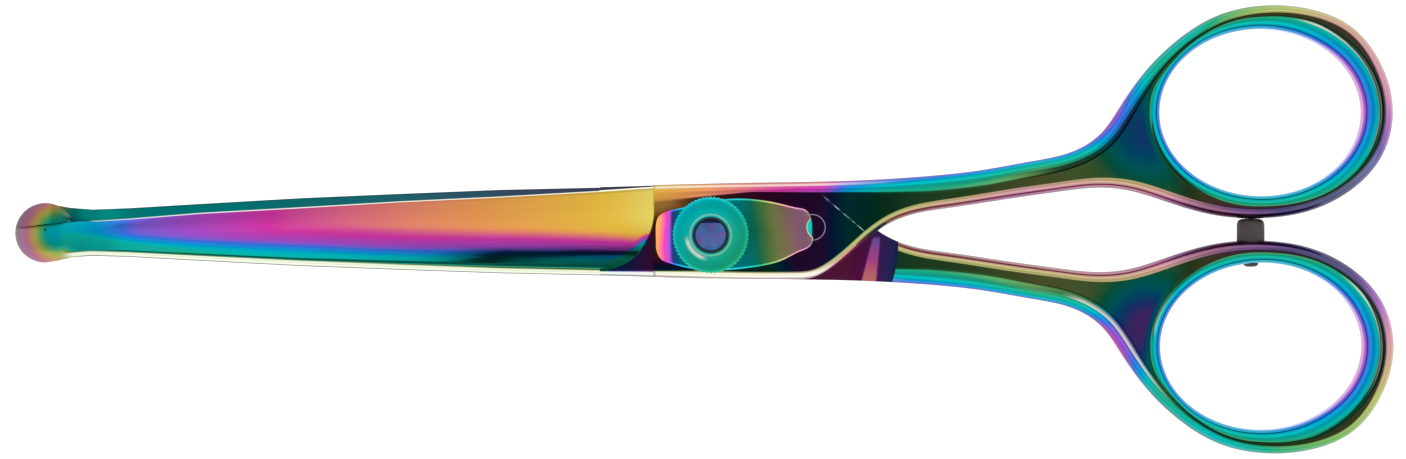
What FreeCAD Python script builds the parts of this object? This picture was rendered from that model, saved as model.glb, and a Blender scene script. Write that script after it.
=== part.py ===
import FreeCAD, Part

import math
import os

import Sketcher
from FreeCAD import Placement, Rotation, Vector

# Thinning shears, closed.  Millimetres.  Origin on the pivot axis in the plane the
# shears rest on; +X towards the finger rings, +Y towards the upper ring, +Z out of
# the side with the tension nut.

os.makedirs("parts", exist_ok=True)
doc = FreeCAD.newDocument("thinning_shears")

# ---------------------------------------------------------------- driving sizes
SIZES = [
    ("full_height", 5.4),        # thickness of handles and rings
    ("tang_height", 2.68),       # thickness of one tang at the pivot
    ("half_gap", 0.02),          # running gap of each half from the middle plane
    ("axis_y", 0.53),            # the mirror line of the outline lies above the pivot
    ("edge_round", 1.15),        # rounding of the handle edges
    ("shoulder_radius", 24.2),   # swing radius cleared in each half
    ("ring_x", 71.2),            # centre of a finger hole
    ("ring_h", 15.11),           # height of a finger hole above the mirror line
    ("ring_major", 13.17),
    ("ring_minor", 10.78),
    ("ball_x", -86.1),
    ("ball_plan", 3.88),
    ("ball_rise", 2.5),
    ("slot_width", 0.75),
    ("tooth_pitch", 1.7),
    ("slot_count", 37),
    ("stud_radius", 2.05),
    ("stud_top", 8.15),
    ("stud_flat", 1.55),
    ("screw_head_radius", 4.0),
    ("screw_head_height", 1.2),
    ("bore_radius", 2.1),
    ("bush_radius", 3.0),
    ("bush_flange_radius", 4.2),
    ("bush_flange_height", 0.3),
    ("nut_radius", 4.92),
    ("nut_bottom", 6.62),
    ("nut_top", 8.6),
    ("nut_mouth_radius", 2.3),
    ("knurl_count", 60),
    ("knurl_depth", 0.22),
    ("lock_ring_radius", 2.8),
    ("lock_ring_bottom", 7.4),
    ("lock_ring_top", 8.05),
    ("spring_thickness", 0.5),
    ("spring_crown", 6.1),
    ("tab_hole_x", 13.1),
    ("tab_hole_y", 0.96),
    ("tab_hole_radius", 1.57),
    ("tab_hole_depth", 1.3),
    ("bumper_x", 69.9),
    ("bumper_radius", 1.78),
    ("bumper_stem_radius", 1.0),
    ("bumper_seat_y", -1.45),
    ("bumper_tip_y", 1.93),
]
sheet = doc.addObject("Spreadsheet::Sheet", "Sheet")
for row, (alias, value) in enumerate(SIZES, start=1):
    sheet.set("A%d" % row, alias)
    sheet.set("B%d" % row, repr(value))
    sheet.setAlias("B%d" % row, alias)
doc.recompute()


def size(alias):
    return float(sheet.get(alias))


MIDDLE = size("full_height") / 2.0
AXIS_Y = size("axis_y")
FLOOR = MIDDLE + size("half_gap")          # inner face of the upper half

# Outline of one half as (x, height above the mirror line): along the outside of the
# shank, round the ring, back along the inside, down the crossing and along the tang.
HALF_OUTLINE = [
    (-7.27, 5.96), (5.10, 6.25), (18.05, 6.47), (27.80, 7.02), (34.87, 7.77), (41.50, 8.92),
    (46.90, 10.20), (50.41, 12.43), (53.00, 15.99), (56.88, 21.25), (60.77, 24.85), (65.60, 27.70),
    (71.12, 28.92), (77.00, 28.58), (82.77, 26.21), (86.66, 21.30), (88.16, 15.20), (86.66, 9.30),
    (82.77, 5.05), (77.00, 2.25), (71.12, 1.42), (65.30, 1.80), (58.18, 3.82), (54.00, 5.05),
    (50.20, 5.42), (45.23, 4.95), (38.76, 4.05), (30.99, 2.88), (24.90, 1.68), (22.40, 0.50),
    (18.20, -2.85), (15.20, -5.12), (13.20, -6.02), (10.60, -6.26), (5.10, -6.25), (-1.40, -6.10),
    (-14.30, -5.72),
]
OUTLINE_BREAKS = (3, 7, 10, 12, 16, 20, 24, 29, 33)
# Curved wall where the blade's ground face runs out against the tang.
PLUNGE = [(-14.30, -4.92), (-12.20, -4.55), (-10.35, -3.75), (-9.05, -2.30), (-8.20, -0.90),
          (-7.45, 1.30), (-7.27, 2.60)]
# Line along which the two balls of the tip, and the cutting edge, meet.
TIP_LINE = [(-92.0, 0.30), (-89.5, 0.63), (-86.2, 1.07), (-82.1, 1.46)]

# The balls are turned ovals with a small flat at either pole; half angle of the oval's arc.
BALL_ARC = 1.42

# Blade stations: x, spine half width, cutting edge, ridge, spine bevel width,
# ridge top, spine top, bevel foot (heights above the resting plane).
STATIONS = [
    (-84.9, 3.58, 1.20, 0.70, 0.95, 3.56, 4.30, 3.62),
    (-83.0, 3.24, 1.40, 0.58, 0.85, 3.48, 4.16, 3.50),
    (-80.0, 3.00, 1.56, 0.41, 0.75, 3.44, 4.06, 3.45),
    (-75.2, 3.17, 1.87, 0.15, 0.75, 3.52, 4.14, 3.52),
    (-66.1, 3.69, 2.58, -0.36, 0.80, 3.76, 4.39, 3.72),
    (-53.0, 4.40, 3.27, -1.08, 0.86, 4.05, 4.66, 3.95),
    (-40.2, 4.92, 4.00, -1.80, 0.92, 4.36, 4.83, 4.14),
    (-27.3, 5.40, 4.58, -2.50, 0.98, 4.68, 4.95, 4.30),
    (-14.3, 5.66, 5.28, -3.10, 1.00, 4.88, 5.08, 4.42),
    (-6.5, 5.76, 5.80, -3.40, 1.05, 4.96, 5.14, 4.50),
]


# ---------------------------------------------------------------- small helpers
def origin_plane(body, role):
    return [item for item in body.Origin.OriginFeatures if item.Role == role][0]


def new_sketch(body, name, role, offset=0.0):
    """A sketch on one of the body's own planes, moved along the plane's normal."""
    sketch = body.newObject("Sketcher::SketchObject", name)
    sketch.AttachmentSupport = [(origin_plane(body, role), "")]
    sketch.MapMode = "FlatFace"
    sketch.AttachmentOffset = Placement(Vector(0, 0, offset), Rotation())
    return sketch


def add_polygon(sketch, points):
    """Closed chain of lines through (u, v) points."""
    count = len(points)
    first = sketch.GeometryCount
    for index in range(count):
        start = Vector(points[index][0], points[index][1], 0)
        end = Vector(points[(index + 1) % count][0], points[(index + 1) % count][1], 0)
        sketch.addGeometry(Part.LineSegment(start, end), False)
    for index in range(count):
        follow = first + (index + 1) % count
        sketch.addConstraint(Sketcher.Constraint("Coincident", first + index, 2, follow, 1))


def add_spline(sketch, points, breaks=()):
    """Smooth curve through the points, handed over in pieces that end at the breaks."""
    whole = Part.BSplineCurve()
    whole.interpolate([Vector(u, v, 0) for u, v in points])
    stops = [0] + list(breaks) + [len(points) - 1]
    marks = [whole.parameter(Vector(points[i][0], points[i][1], 0)) for i in stops]
    marks[0] = whole.FirstParameter
    marks[-1] = whole.LastParameter
    for start, end in zip(marks, marks[1:]):
        piece = whole.copy()
        piece.segment(start, end)
        sketch.addGeometry(piece, False)


def add_circle(sketch, centre, alias):
    """Circle whose radius follows a cell of the sheet."""
    radius = size(alias)
    circle = Part.Circle(Vector(centre[0], centre[1], 0), Vector(0, 0, 1), radius)
    index = sketch.addGeometry(circle, False)
    number = sketch.addConstraint(Sketcher.Constraint("Radius", index, radius))
    sketch.setExpression("Constraints[%d]" % number, "Sheet." + alias)


def pad(body, name, sketch, expression, reverse=False, midplane=False):
    feature = body.newObject("PartDesign::Pad", name)
    feature.Profile = sketch
    feature.setExpression("Length", expression)
    feature.Reversed = reverse
    feature.Midplane = midplane
    doc.recompute()
    return feature


def pocket(body, name, sketch, expression, reverse=False, midplane=False):
    """A pocket; stops the build if it removes nothing."""
    before = body.Shape.Volume
    feature = body.newObject("PartDesign::Pocket", name)
    feature.Profile = sketch
    feature.setExpression("Length", expression)
    feature.Reversed = reverse
    feature.Midplane = midplane
    doc.recompute()
    if body.Shape.Volume > before - 1e-6:
        raise ValueError("pocket %s removes nothing" % name)
    return feature


def revolve(body, name, profile):
    """Full turn of a profile about the sketch's upright axis."""
    feature = body.newObject("PartDesign::Revolution", name)
    feature.Profile = profile
    feature.ReferenceAxis = (profile, ["V_Axis"])
    feature.Angle = 360
    doc.recompute()
    return feature


def boolean(kind, name, base, tool):
    feature = doc.addObject("Part::" + kind, name)
    feature.Base = base
    feature.Tool = tool
    doc.recompute()
    return feature


def cylinder(name, radius, height, base, direction=Vector(0, 0, 1)):
    """Cylinder primitive; radius and height are sheet expressions."""
    feature = doc.addObject("Part::Cylinder", name)
    feature.setExpression("Radius", radius)
    feature.setExpression("Height", height)
    feature.Placement = Placement(base, Rotation(Vector(0, 0, 1), direction))
    doc.recompute()
    return feature


def flip_to_lower_half(feature):
    """Half turn about the mirror line, taking the upper half's place to the lower's."""
    feature.Placement = Placement(Vector(0, 2 * AXIS_Y, 2 * MIDDLE), Rotation(Vector(1, 0, 0), 180))
    doc.recompute()


def over_axis(points):
    return [(x, AXIS_Y + height) for x, height in points]


# ---------------------------------------------------------------- one half without its blade
def half_body(name, pivot_y):
    """Tang, shank and ring of one half in the upper half's position."""
    body = doc.addObject("PartDesign::Body", name)
    outline = new_sketch(body, name + "_outline", "XY_Plane")
    contour = over_axis(HALF_OUTLINE)
    wall = over_axis(PLUNGE)
    add_spline(outline, contour, OUTLINE_BREAKS)
    add_spline(outline, wall)
    outline.addGeometry(Part.LineSegment(Vector(*contour[-1], 0), Vector(*wall[0], 0)), False)
    outline.addGeometry(Part.LineSegment(Vector(*wall[-1], 0), Vector(*contour[0], 0)), False)
    solid = pad(body, name + "_pad", outline, "Sheet.full_height")

    hole = new_sketch(body, name + "_finger_hole", "XY_Plane")
    centre = Vector(size("ring_x"), AXIS_Y + size("ring_h"), 0)
    hole.addGeometry(Part.Ellipse(centre, size("ring_major"), size("ring_minor")), False)
    ring = pocket(body, name + "_finger_pocket", hole, "2 * Sheet.full_height", midplane=True)

    rounded = []
    for index, edge in enumerate(ring.Shape.Edges, start=1):
        box = edge.BoundBox
        on_face = min(abs(box.ZMin), abs(box.ZMin - size("full_height"))) < 1e-6
        if box.ZLength < 1e-6 and on_face and box.XMax > -7.0:
            rounded.append("Edge%d" % index)
    fillet = body.newObject("PartDesign::Fillet", name + "_edge_round")
    fillet.Base = (ring, rounded)
    fillet.setExpression("Radius", "Sheet.edge_round")
    doc.recompute()

    relief = new_sketch(body, name + "_relief", "XY_Plane")
    add_circle(relief, (0, pivot_y), "shoulder_radius")
    pocket(body, name + "_relief_pocket", relief, "Sheet.full_height / 2 + Sheet.half_gap", reverse=True)

    bore = new_sketch(body, name + "_bore", "XY_Plane")
    add_circle(bore, (0, pivot_y), "bore_radius")
    pocket(body, name + "_bore_pocket", bore, "2 * Sheet.full_height", midplane=True)
    return body


def loft_body(name, sections):
    """Ruled loft through (x, polygon) sections."""
    body = doc.addObject("PartDesign::Body", name)
    sketches = []
    for index, (x, polygon) in enumerate(sections):
        sketch = new_sketch(body, "%s_section_%d" % (name, index), "YZ_Plane", x)
        add_polygon(sketch, polygon)
        sketches.append(sketch)
    doc.recompute()
    loft = body.newObject("PartDesign::AdditiveLoft", name + "_loft")
    loft.Profile = sketches[0]
    loft.Sections = sketches[1:]
    loft.Ruled = True
    doc.recompute()
    return body


def blade_section(width, edge, ridge, bevel, ridge_top, spine_top, bevel_foot, land):
    """Blade cross-section as (y, z): flat inner face, edge land, ground face, spine bevel."""
    spine = -width
    section = [(edge, FLOOR), (edge, FLOOR + land), (ridge, ridge_top), (spine + bevel, spine_top),
               (spine, bevel_foot), (spine, FLOOR)]
    return [(AXIS_Y + height, z) for height, z in section]


def prism(name, points, bottom, top):
    """Upright prism of a polygon."""
    wire = Part.makePolygon([Vector(x, y, bottom) for x, y in points + points[:1]])
    feature = doc.addObject("Part::Feature", name)
    feature.Shape = Part.Face(wire).extrude(Vector(0, 0, top - bottom))
    return feature


def cross_prism(name, points, reach):
    """Prism lying across the blade, of an (x, z) polygon."""
    wire = Part.makePolygon([Vector(x, -reach, z) for x, z in points + points[:1]])
    feature = doc.addObject("Part::Feature", name)
    feature.Shape = Part.Face(wire).extrude(Vector(0, 2 * reach, 0))
    return feature


def tip_ball(name, side_points, heel, seam_turn):
    """Half of the safety ball, on one side of the meeting line.

    The heel is the (x, z) line along which its lower part ends towards the blade."""
    ball = doc.addObject("PartDesign::Body", name + "_turned")
    profile = new_sketch(ball, name + "_profile", "XZ_Plane")
    oval = Part.Ellipse(Vector(0, 0, 0), size("ball_plan"), size("ball_rise"))
    cap = Vector(size("ball_plan") * math.cos(BALL_ARC), size("ball_rise") * math.sin(BALL_ARC), 0)
    profile.addGeometry(Part.ArcOfEllipse(oval, -BALL_ARC, BALL_ARC), False)
    profile.addGeometry(Part.LineSegment(cap, Vector(0, cap.y, 0)), False)
    profile.addGeometry(Part.LineSegment(Vector(0, cap.y, 0), Vector(0, -cap.y, 0)), False)
    profile.addGeometry(Part.LineSegment(Vector(0, -cap.y, 0), Vector(cap.x, -cap.y, 0)), False)
    revolve(ball, name + "_revolution", profile)
    ball.Placement = Placement(Vector(size("ball_x"), AXIS_Y, MIDDLE), Rotation(Vector(0, 0, 1), seam_turn))
    side = prism(name + "_side", side_points, -1.0, 8.0)
    half = boolean("Common", name + "_half", ball, side)
    under = cross_prism(name + "_under", heel + [(-60.0, FLOOR), (-60.0, -1.0)], 9.0)
    return boolean("Cut", name, half, under)


# ---------------------------------------------------------------- upper half: cutting blade
front_half = half_body("front_half", 0.0)

front_loft = loft_body("front_edge", [
    (x, blade_section(w, c, r, bevel, rt, st, bf, 0.12))
    for x, w, c, r, bevel, rt, st, bf in STATIONS])

meeting = over_axis([(x, h - 0.02) for x, h in TIP_LINE])
front_side = meeting + [(-80.5, AXIS_Y + 1.5), (-80.5, -8), (-92, -8)]
front_ball = tip_ball("front_ball", front_side, [(-83.3, -1.0), (-83.3, FLOOR)], -90)

front_blade_raw = boolean("Fuse", "front_blade_raw", front_loft, front_ball)
front_whole = boolean("Fuse", "front_whole", front_half, front_blade_raw)

tab_hole = cylinder("tab_hole", "Sheet.tab_hole_radius", "Sheet.tab_hole_depth + 1",
                    Vector(size("tab_hole_x"), size("tab_hole_y"),
                           size("full_height") - size("tab_hole_depth")))
front_drilled = boolean("Cut", "front_drilled", front_whole, tab_hole)

# Weld seam: an upright plane crossing the tang on a diagonal.
SEAM = (Vector(14.26, 5.19, 0), Vector(19.96, 0.27, 0))


def seam_tool(name):
    """Large box whose face lies on the seam, on the handle side."""
    along = (SEAM[1] - SEAM[0]).normalize()
    normal = Vector(-along.y, along.x, 0)
    corner = SEAM[0] - along * 60
    far = SEAM[0] + along * 90
    points = [corner, far, far + normal * 120, corner + normal * 120]
    return prism(name, [(p.x, p.y) for p in points], -5.0, 15.0)


front_blade = boolean("Cut", "front_blade", front_drilled, seam_tool("front_seam"))
front_handle = boolean("Common", "front_handle", front_drilled, seam_tool("front_seam_handle"))

# ---------------------------------------------------------------- lower half: comb blade
rear_half = half_body("rear_half", 2 * AXIS_Y)

comb_sections = []
for x, w, c, r, bevel, rt, st, bf in STATIONS:
    if x < -82.9:
        low = -(1.60 if x > -84 else 1.40)
        comb_sections.append((x, blade_section(w, low, low - 0.25, bevel, rt - 0.1, st, bf, 0.8)))
    else:
        tip = 1.78 + 0.0563 * (x + 75.2)
        comb_sections.append((x, blade_section(w, tip, tip - 2.0, bevel, rt, st, bf, 0.55)))
comb_loft = loft_body("comb_edge", comb_sections)

# The tooth gaps: one round-ended slot and one notch in a tooth's end, each repeated.
slots = doc.getObject("comb_edge")
half_slot = size("slot_width") / 2.0
first_x = -76.2
root = AXIS_Y - 1.05
slot = new_sketch(slots, "slot", "XY_Plane")
slot_sides = [Vector(first_x - half_slot, root, 0), Vector(first_x - half_slot, 9, 0),
              Vector(first_x + half_slot, 9, 0), Vector(first_x + half_slot, root, 0)]
for start, end in zip(slot_sides, slot_sides[1:]):
    slot.addGeometry(Part.LineSegment(start, end), False)
slot.addGeometry(Part.ArcOfCircle(Part.Circle(Vector(first_x, root, 0), Vector(0, 0, 1), half_slot),
                                  math.pi, 2 * math.pi), False)
slot_cut = pocket(slots, "slot_pocket", slot, "4 * Sheet.full_height", midplane=True)


def repeat(body, name, feature, direction, count_alias):
    """Straight pattern of a pocket along a line drawn in its own sketch."""
    guide = new_sketch(body, name + "_direction", "XY_Plane")
    guide.addGeometry(Part.LineSegment(Vector(0, 0, 0), Vector(direction[0], direction[1], 0)), False)
    pattern = body.newObject("PartDesign::LinearPattern", name)
    pattern.Originals = [feature]
    pattern.Direction = (guide, ["Edge1"])
    pattern.setExpression("Length", "Sheet.tooth_pitch * (Sheet.%s - 1)" % count_alias)
    pattern.setExpression("Occurrences", "Sheet." + count_alias)
    body.Tip = pattern
    doc.recompute()
    return pattern


repeat(slots, "slot_pattern", slot_cut, (63.0, 0.8), "slot_count")

notch = new_sketch(slots, "notch", "XY_Plane")
notch_x = first_x - size("tooth_pitch") / 2.0
notch_tip = AXIS_Y + 1.78 + 0.0563 * (notch_x + 75.2)
add_polygon(notch, [(notch_x, notch_tip - 0.45), (notch_x + 0.42, notch_tip + 0.25),
                    (notch_x - 0.42, notch_tip + 0.25)])
notch_cut = pocket(slots, "notch_pocket", notch, "4 * Sheet.full_height", midplane=True)
repeat(slots, "notch_pattern", notch_cut, (1.0, 0.0563), "slot_count")

comb_line = [(-92.0, 0.26), (-89.5, 0.60), (-86.2, 1.04), (-83.45, 1.30), (-83.35, 1.50), (-82.1, 1.60)]
comb_side = [(x, AXIS_Y - h - 0.02) for x, h in comb_line] + [(-80.5, AXIS_Y - 1.7), (-80.5, -8), (-92, -8)]
rear_ball = tip_ball("rear_ball", comb_side, [(-84.9, -0.2), (-81.9, FLOOR)], 90)
comb_raw = boolean("Fuse", "comb_raw", comb_loft, rear_ball)
rear_whole = boolean("Fuse", "rear_whole", rear_half, comb_raw)
flip_to_lower_half(rear_whole)

# Seats of the screw head and of the bush, and the bumper's hole, in the lower half.
head_seat = cylinder("head_seat", "Sheet.screw_head_radius + 0.1", "Sheet.screw_head_height + 0.05",
                     Vector(0, 0, 0))
bush_bore = cylinder("bush_bore", "Sheet.bush_radius", "Sheet.full_height", Vector(0, 0, 0))
flange_seat = cylinder("flange_seat", "Sheet.bush_flange_radius + 0.05", "1",
                       Vector(0, 0, size("tang_height") - 0.28))
bumper_seat = cylinder("bumper_seat", "Sheet.bumper_radius + 0.05", "4",
                       Vector(size("bumper_x"), size("bumper_seat_y"), MIDDLE), Vector(0, 1, 0))
bumper_hole = cylinder("bumper_hole", "Sheet.bumper_stem_radius", "6",
                       Vector(size("bumper_x"), -5.5, MIDDLE), Vector(0, 1, 0))
current = rear_whole
for tool in (head_seat, bush_bore, flange_seat, bumper_seat, bumper_hole):
    current = boolean("Cut", "rear_less_" + tool.Name, current, tool)


def mirrored_seam_tool(name):
    tool = seam_tool(name)
    flip_to_lower_half(tool)
    return tool


comb_blade = boolean("Cut", "comb_blade", current, mirrored_seam_tool("rear_seam"))
rear_handle = boolean("Common", "rear_handle", current, mirrored_seam_tool("rear_seam_handle"))

# ---------------------------------------------------------------- pivot screw
screw = doc.addObject("PartDesign::Body", "pivot_screw")
head_bottom = 0.05
profile = new_sketch(screw, "screw_profile", "XZ_Plane")
head_r = size("screw_head_radius")
head_top = head_bottom + size("screw_head_height")
stud_r = size("stud_radius")
stud_top = size("stud_top")
add_polygon(profile, [(0, head_bottom), (head_r - 0.35, head_bottom), (head_r, head_bottom + 0.35),
                      (head_r, head_top), (stud_r, head_top), (stud_r, stud_top - 0.15),
                      (stud_r - 0.15, stud_top), (0, stud_top)])
revolve(screw, "screw_turned", profile)
flat = new_sketch(screw, "screw_flat", "XY_Plane", size("full_height") - 0.6)
flat_y = size("stud_flat")
add_polygon(flat, [(-3, flat_y), (3, flat_y), (3, 4), (-3, 4)])
pocket(screw, "screw_flat_pocket", flat, "Sheet.full_height", reverse=True)
# Coin slot across the head.
coin = new_sketch(screw, "screw_coin_slot", "XY_Plane")
add_polygon(coin, [(-6, -0.45), (6, -0.45), (6, 0.45), (-6, 0.45)])
pocket(screw, "screw_coin_pocket", coin, "0.6", reverse=True)

# ---------------------------------------------------------------- pivot bush
bush = doc.addObject("PartDesign::Body", "pivot_bush")
profile = new_sketch(bush, "bush_profile", "XZ_Plane")
bore_r = size("bore_radius")
sleeve_r = size("bush_radius")
flange_r = size("bush_flange_radius")
flange_top = MIDDLE + 0.01
flange_bottom = flange_top - size("bush_flange_height")
sleeve_bottom = head_top + 0.02
add_polygon(profile, [(bore_r, sleeve_bottom), (sleeve_r, sleeve_bottom), (sleeve_r, flange_bottom),
                      (flange_r, flange_bottom), (flange_r, flange_top), (bore_r, flange_top)])
revolve(bush, "bush_turned", profile)

# ---------------------------------------------------------------- leaf spring
# Plan outline of the plate as two curves, and its bowed side profile with the lip and the tab.
SPRING_UPPER = [(-7.10, 0.40), (-7.02, 1.42), (-6.72, 2.38), (-6.10, 2.86), (-3.95, 3.47), (-0.50, 4.25),
                (2.70, 4.66), (5.84, 4.56), (8.74, 4.08), (11.40, 3.47), (12.25, 3.23), (12.85, 2.38),
                (13.14, 1.18), (13.24, 0.40)]
SPRING_LOWER = [(13.24, 0.40), (13.20, -0.40), (12.90, -1.36), (11.40, -2.20), (9.46, -3.17), (6.33, -4.01),
                (2.94, -4.42), (-1.89, -4.38), (-5.50, -3.55), (-6.30, -3.20), (-6.72, -2.69), (-7.08, -0.75),
                (-7.10, 0.40)]
thick = size("spring_thickness")
crown = size("spring_crown")
rest = size("full_height")
spring_side = doc.addObject("PartDesign::Body", "spring_side")
side = new_sketch(spring_side, "spring_profile", "XZ_Plane")
under = [(-7.30, rest), (-5.20, crown - 0.28), (0.00, crown), (7.50, crown - 0.22), (13.40, rest + 0.02)]
lower = Part.BSplineCurve()
lower.interpolate([Vector(x, z, 0) for x, z in under])
upper = Part.BSplineCurve()
upper.interpolate([Vector(x, z + thick, 0) for x, z in under])
side.addGeometry(lower, False)
side.addGeometry(upper, False)
for x, z in (under[0], under[-1]):
    side.addGeometry(Part.LineSegment(Vector(x, z, 0), Vector(x, z + thick, 0)), False)
pad(spring_side, "spring_pad", side, "12", midplane=True)
spring_plan = doc.addObject("PartDesign::Body", "spring_plan")
plan = new_sketch(spring_plan, "spring_outline", "XY_Plane", 3.0)
add_spline(plan, SPRING_UPPER, (4, 9))
add_spline(plan, SPRING_LOWER, (3, 8))
pad(spring_plan, "spring_plan_pad", plan, "6")
spring_blank = boolean("Common", "spring_blank", spring_side, spring_plan)
tab = doc.addObject("Part::Box", "spring_tab")
tab.Length = 0.55
tab.Width = 2.3
tab.Height = 1.35
tab.Placement = Placement(Vector(12.70, -0.20, rest - 0.95), Rotation())
spring_tabbed = boolean("Fuse", "spring_tabbed", spring_blank, tab)
hole_body = doc.addObject("PartDesign::Body", "spring_hole")
d_hole = new_sketch(hole_body, "spring_d_hole", "XY_Plane", 4.0)
d_flat = size("stud_flat") + 0.05
reach = math.sqrt(bore_r ** 2 - d_flat ** 2)
d_angle = math.atan2(d_flat, reach)
d_hole.addGeometry(Part.ArcOfCircle(Part.Circle(Vector(0, 0, 0), Vector(0, 0, 1), bore_r),
                                    math.pi - d_angle, 2 * math.pi + d_angle), False)
d_hole.addGeometry(Part.LineSegment(Vector(reach, d_flat, 0), Vector(-reach, d_flat, 0)), False)
pad(hole_body, "spring_hole_pad", d_hole, "5")
leaf_spring = boolean("Cut", "leaf_spring", spring_tabbed, hole_body)

# ---------------------------------------------------------------- tension nut
nut = doc.addObject("PartDesign::Body", "tension_nut")
profile = new_sketch(nut, "nut_profile", "XZ_Plane")
nut_r = size("nut_radius")
nut_low = size("nut_bottom")
nut_high = size("nut_top")
thread_r = stud_r + 0.07
groove_r = size("lock_ring_radius")
groove_low = size("lock_ring_bottom")
groove_high = size("lock_ring_top")
mouth_r = size("nut_mouth_radius")
add_polygon(profile, [(thread_r, nut_low), (nut_r - 0.25, nut_low), (nut_r, nut_low + 0.25),
                      (nut_r, nut_high - 0.45), (nut_r - 0.75, nut_high), (mouth_r + 0.2, nut_high),
                      (mouth_r, nut_high - 0.2), (mouth_r, groove_high), (groove_r, groove_high),
                      (groove_r, groove_low), (thread_r, groove_low)])
revolve(nut, "nut_turned", profile)
groove = new_sketch(nut, "knurl_groove", "XY_Plane", nut_low - 0.1)
depth = size("knurl_depth")
add_polygon(groove, [(nut_r - depth, 0), (nut_r + 0.1, 0.26), (nut_r + 0.1, -0.26)])
knurl = pocket(nut, "knurl_pocket", groove, "Sheet.nut_top - Sheet.nut_bottom + 0.2", reverse=True)
ring = nut.newObject("PartDesign::PolarPattern", "knurl_pattern")
ring.Originals = [knurl]
ring.Axis = (groove, ["N_Axis"])
ring.Angle = 360
ring.setExpression("Occurrences", "Sheet.knurl_count")
nut.Tip = ring
doc.recompute()

# ---------------------------------------------------------------- lock ring in the nut
lock = doc.addObject("PartDesign::Body", "nut_lock_ring")
profile = new_sketch(lock, "lock_profile", "XZ_Plane")
add_polygon(profile, [(stud_r + 0.04, groove_low), (groove_r, groove_low), (groove_r, groove_high),
                      (stud_r + 0.04, groove_high)])
revolve(lock, "lock_turned", profile)

# ---------------------------------------------------------------- rubber bumper
# Turned about its own upright axis, then laid along +Y in the lower ring's wall.
bumper = doc.addObject("PartDesign::Body", "rubber_bumper")
profile = new_sketch(bumper, "bumper_profile", "XZ_Plane")
pip_bottom = -3.95
barrel_r = size("bumper_radius")
stem_r = size("bumper_stem_radius")
seat_y = size("bumper_seat_y")
tip_y = size("bumper_tip_y")
add_polygon(profile, [(0, pip_bottom), (0.70, pip_bottom + 0.12), (stem_r - 0.02, pip_bottom + 0.5),
                      (stem_r - 0.02, seat_y), (barrel_r - 0.1, seat_y), (barrel_r, seat_y + 0.1),
                      (barrel_r, tip_y - 0.7), (barrel_r - 0.25, tip_y - 0.25), (barrel_r - 0.75, tip_y),
                      (0, tip_y)])
revolve(bumper, "bumper_turned", profile)
bumper.Placement = Placement(Vector(size("bumper_x"), 0, MIDDLE), Rotation(Vector(1, 0, 0), -90))
doc.recompute()

# ---------------------------------------------------------------- check and write
NODES = [
    ("front_blade", front_blade), ("front_handle", front_handle), ("comb_blade", comb_blade),
    ("rear_handle", rear_handle), ("pivot_screw", screw), ("pivot_bush", bush),
    ("leaf_spring", leaf_spring), ("tension_nut", nut), ("nut_lock_ring", lock),
    ("rubber_bumper", bumper),
]
doc.recompute()
for item in doc.Objects:
    if "Invalid" in item.State or "Error" in item.State:
        raise ValueError("%s is in state %s" % (item.Name, item.State))
for node, item in NODES:
    item.Label = node
    shape = item.Shape
    if shape.isNull() or not shape.isValid():
        raise ValueError(node + " has no valid shape")
    if len(shape.Solids) != 1:
        raise ValueError("%s has %d solids" % (node, len(shape.Solids)))
    shape.exportStep("parts/%s.step" % node)
    box = shape.BoundBox
    print("%-14s volume %8.2f  x %.2f..%.2f  y %.2f..%.2f  z %.2f..%.2f" % (
        node, shape.Volume, box.XMin, box.XMax, box.YMin, box.YMax, box.ZMin, box.ZMax))
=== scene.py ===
import math

import bmesh
import bpy
import numpy as np
from mathutils import Matrix, Vector
from mathutils.geometry import delaunay_2d_cdt


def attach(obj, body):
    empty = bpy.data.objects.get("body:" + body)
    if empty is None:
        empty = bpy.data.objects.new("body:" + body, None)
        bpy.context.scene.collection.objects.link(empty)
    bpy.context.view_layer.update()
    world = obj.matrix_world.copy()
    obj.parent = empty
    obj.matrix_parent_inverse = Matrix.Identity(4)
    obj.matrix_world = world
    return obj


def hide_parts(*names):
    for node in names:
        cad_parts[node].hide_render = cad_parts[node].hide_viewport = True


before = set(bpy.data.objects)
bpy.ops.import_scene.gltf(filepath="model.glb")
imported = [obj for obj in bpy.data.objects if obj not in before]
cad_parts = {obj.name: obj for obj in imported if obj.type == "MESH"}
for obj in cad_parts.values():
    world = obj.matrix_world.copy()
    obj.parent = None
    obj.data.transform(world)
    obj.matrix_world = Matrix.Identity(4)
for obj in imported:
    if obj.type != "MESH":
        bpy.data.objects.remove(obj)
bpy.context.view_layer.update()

# Thinning shears.  Sizes are in millimetres in the frame of the CAD model and are turned into
# metres where a mesh is made.  The upper half is built in place; the lower half is the
# same shape turned half round the mirror line.

MM = 0.001
AXIS_Y = 0.53       # height of the mirror line above the pivot
MIDDLE = 2.7        # plane in which the halves meet
TOP = 5.4
FLOOR = 2.72        # underside of the upper tang and blade
SHOULDER = 24.2     # radius cleared round the pivot in each half
BORE_RADIUS = 2.1
TAB_HOLE = (13.1, 0.96)
TAB_HOLE_RADIUS = 1.57
BUMPER_X = 69.9
RING_CENTRE = (71.2, 15.11)
RING_AXES = (13.17, 10.78)

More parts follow.
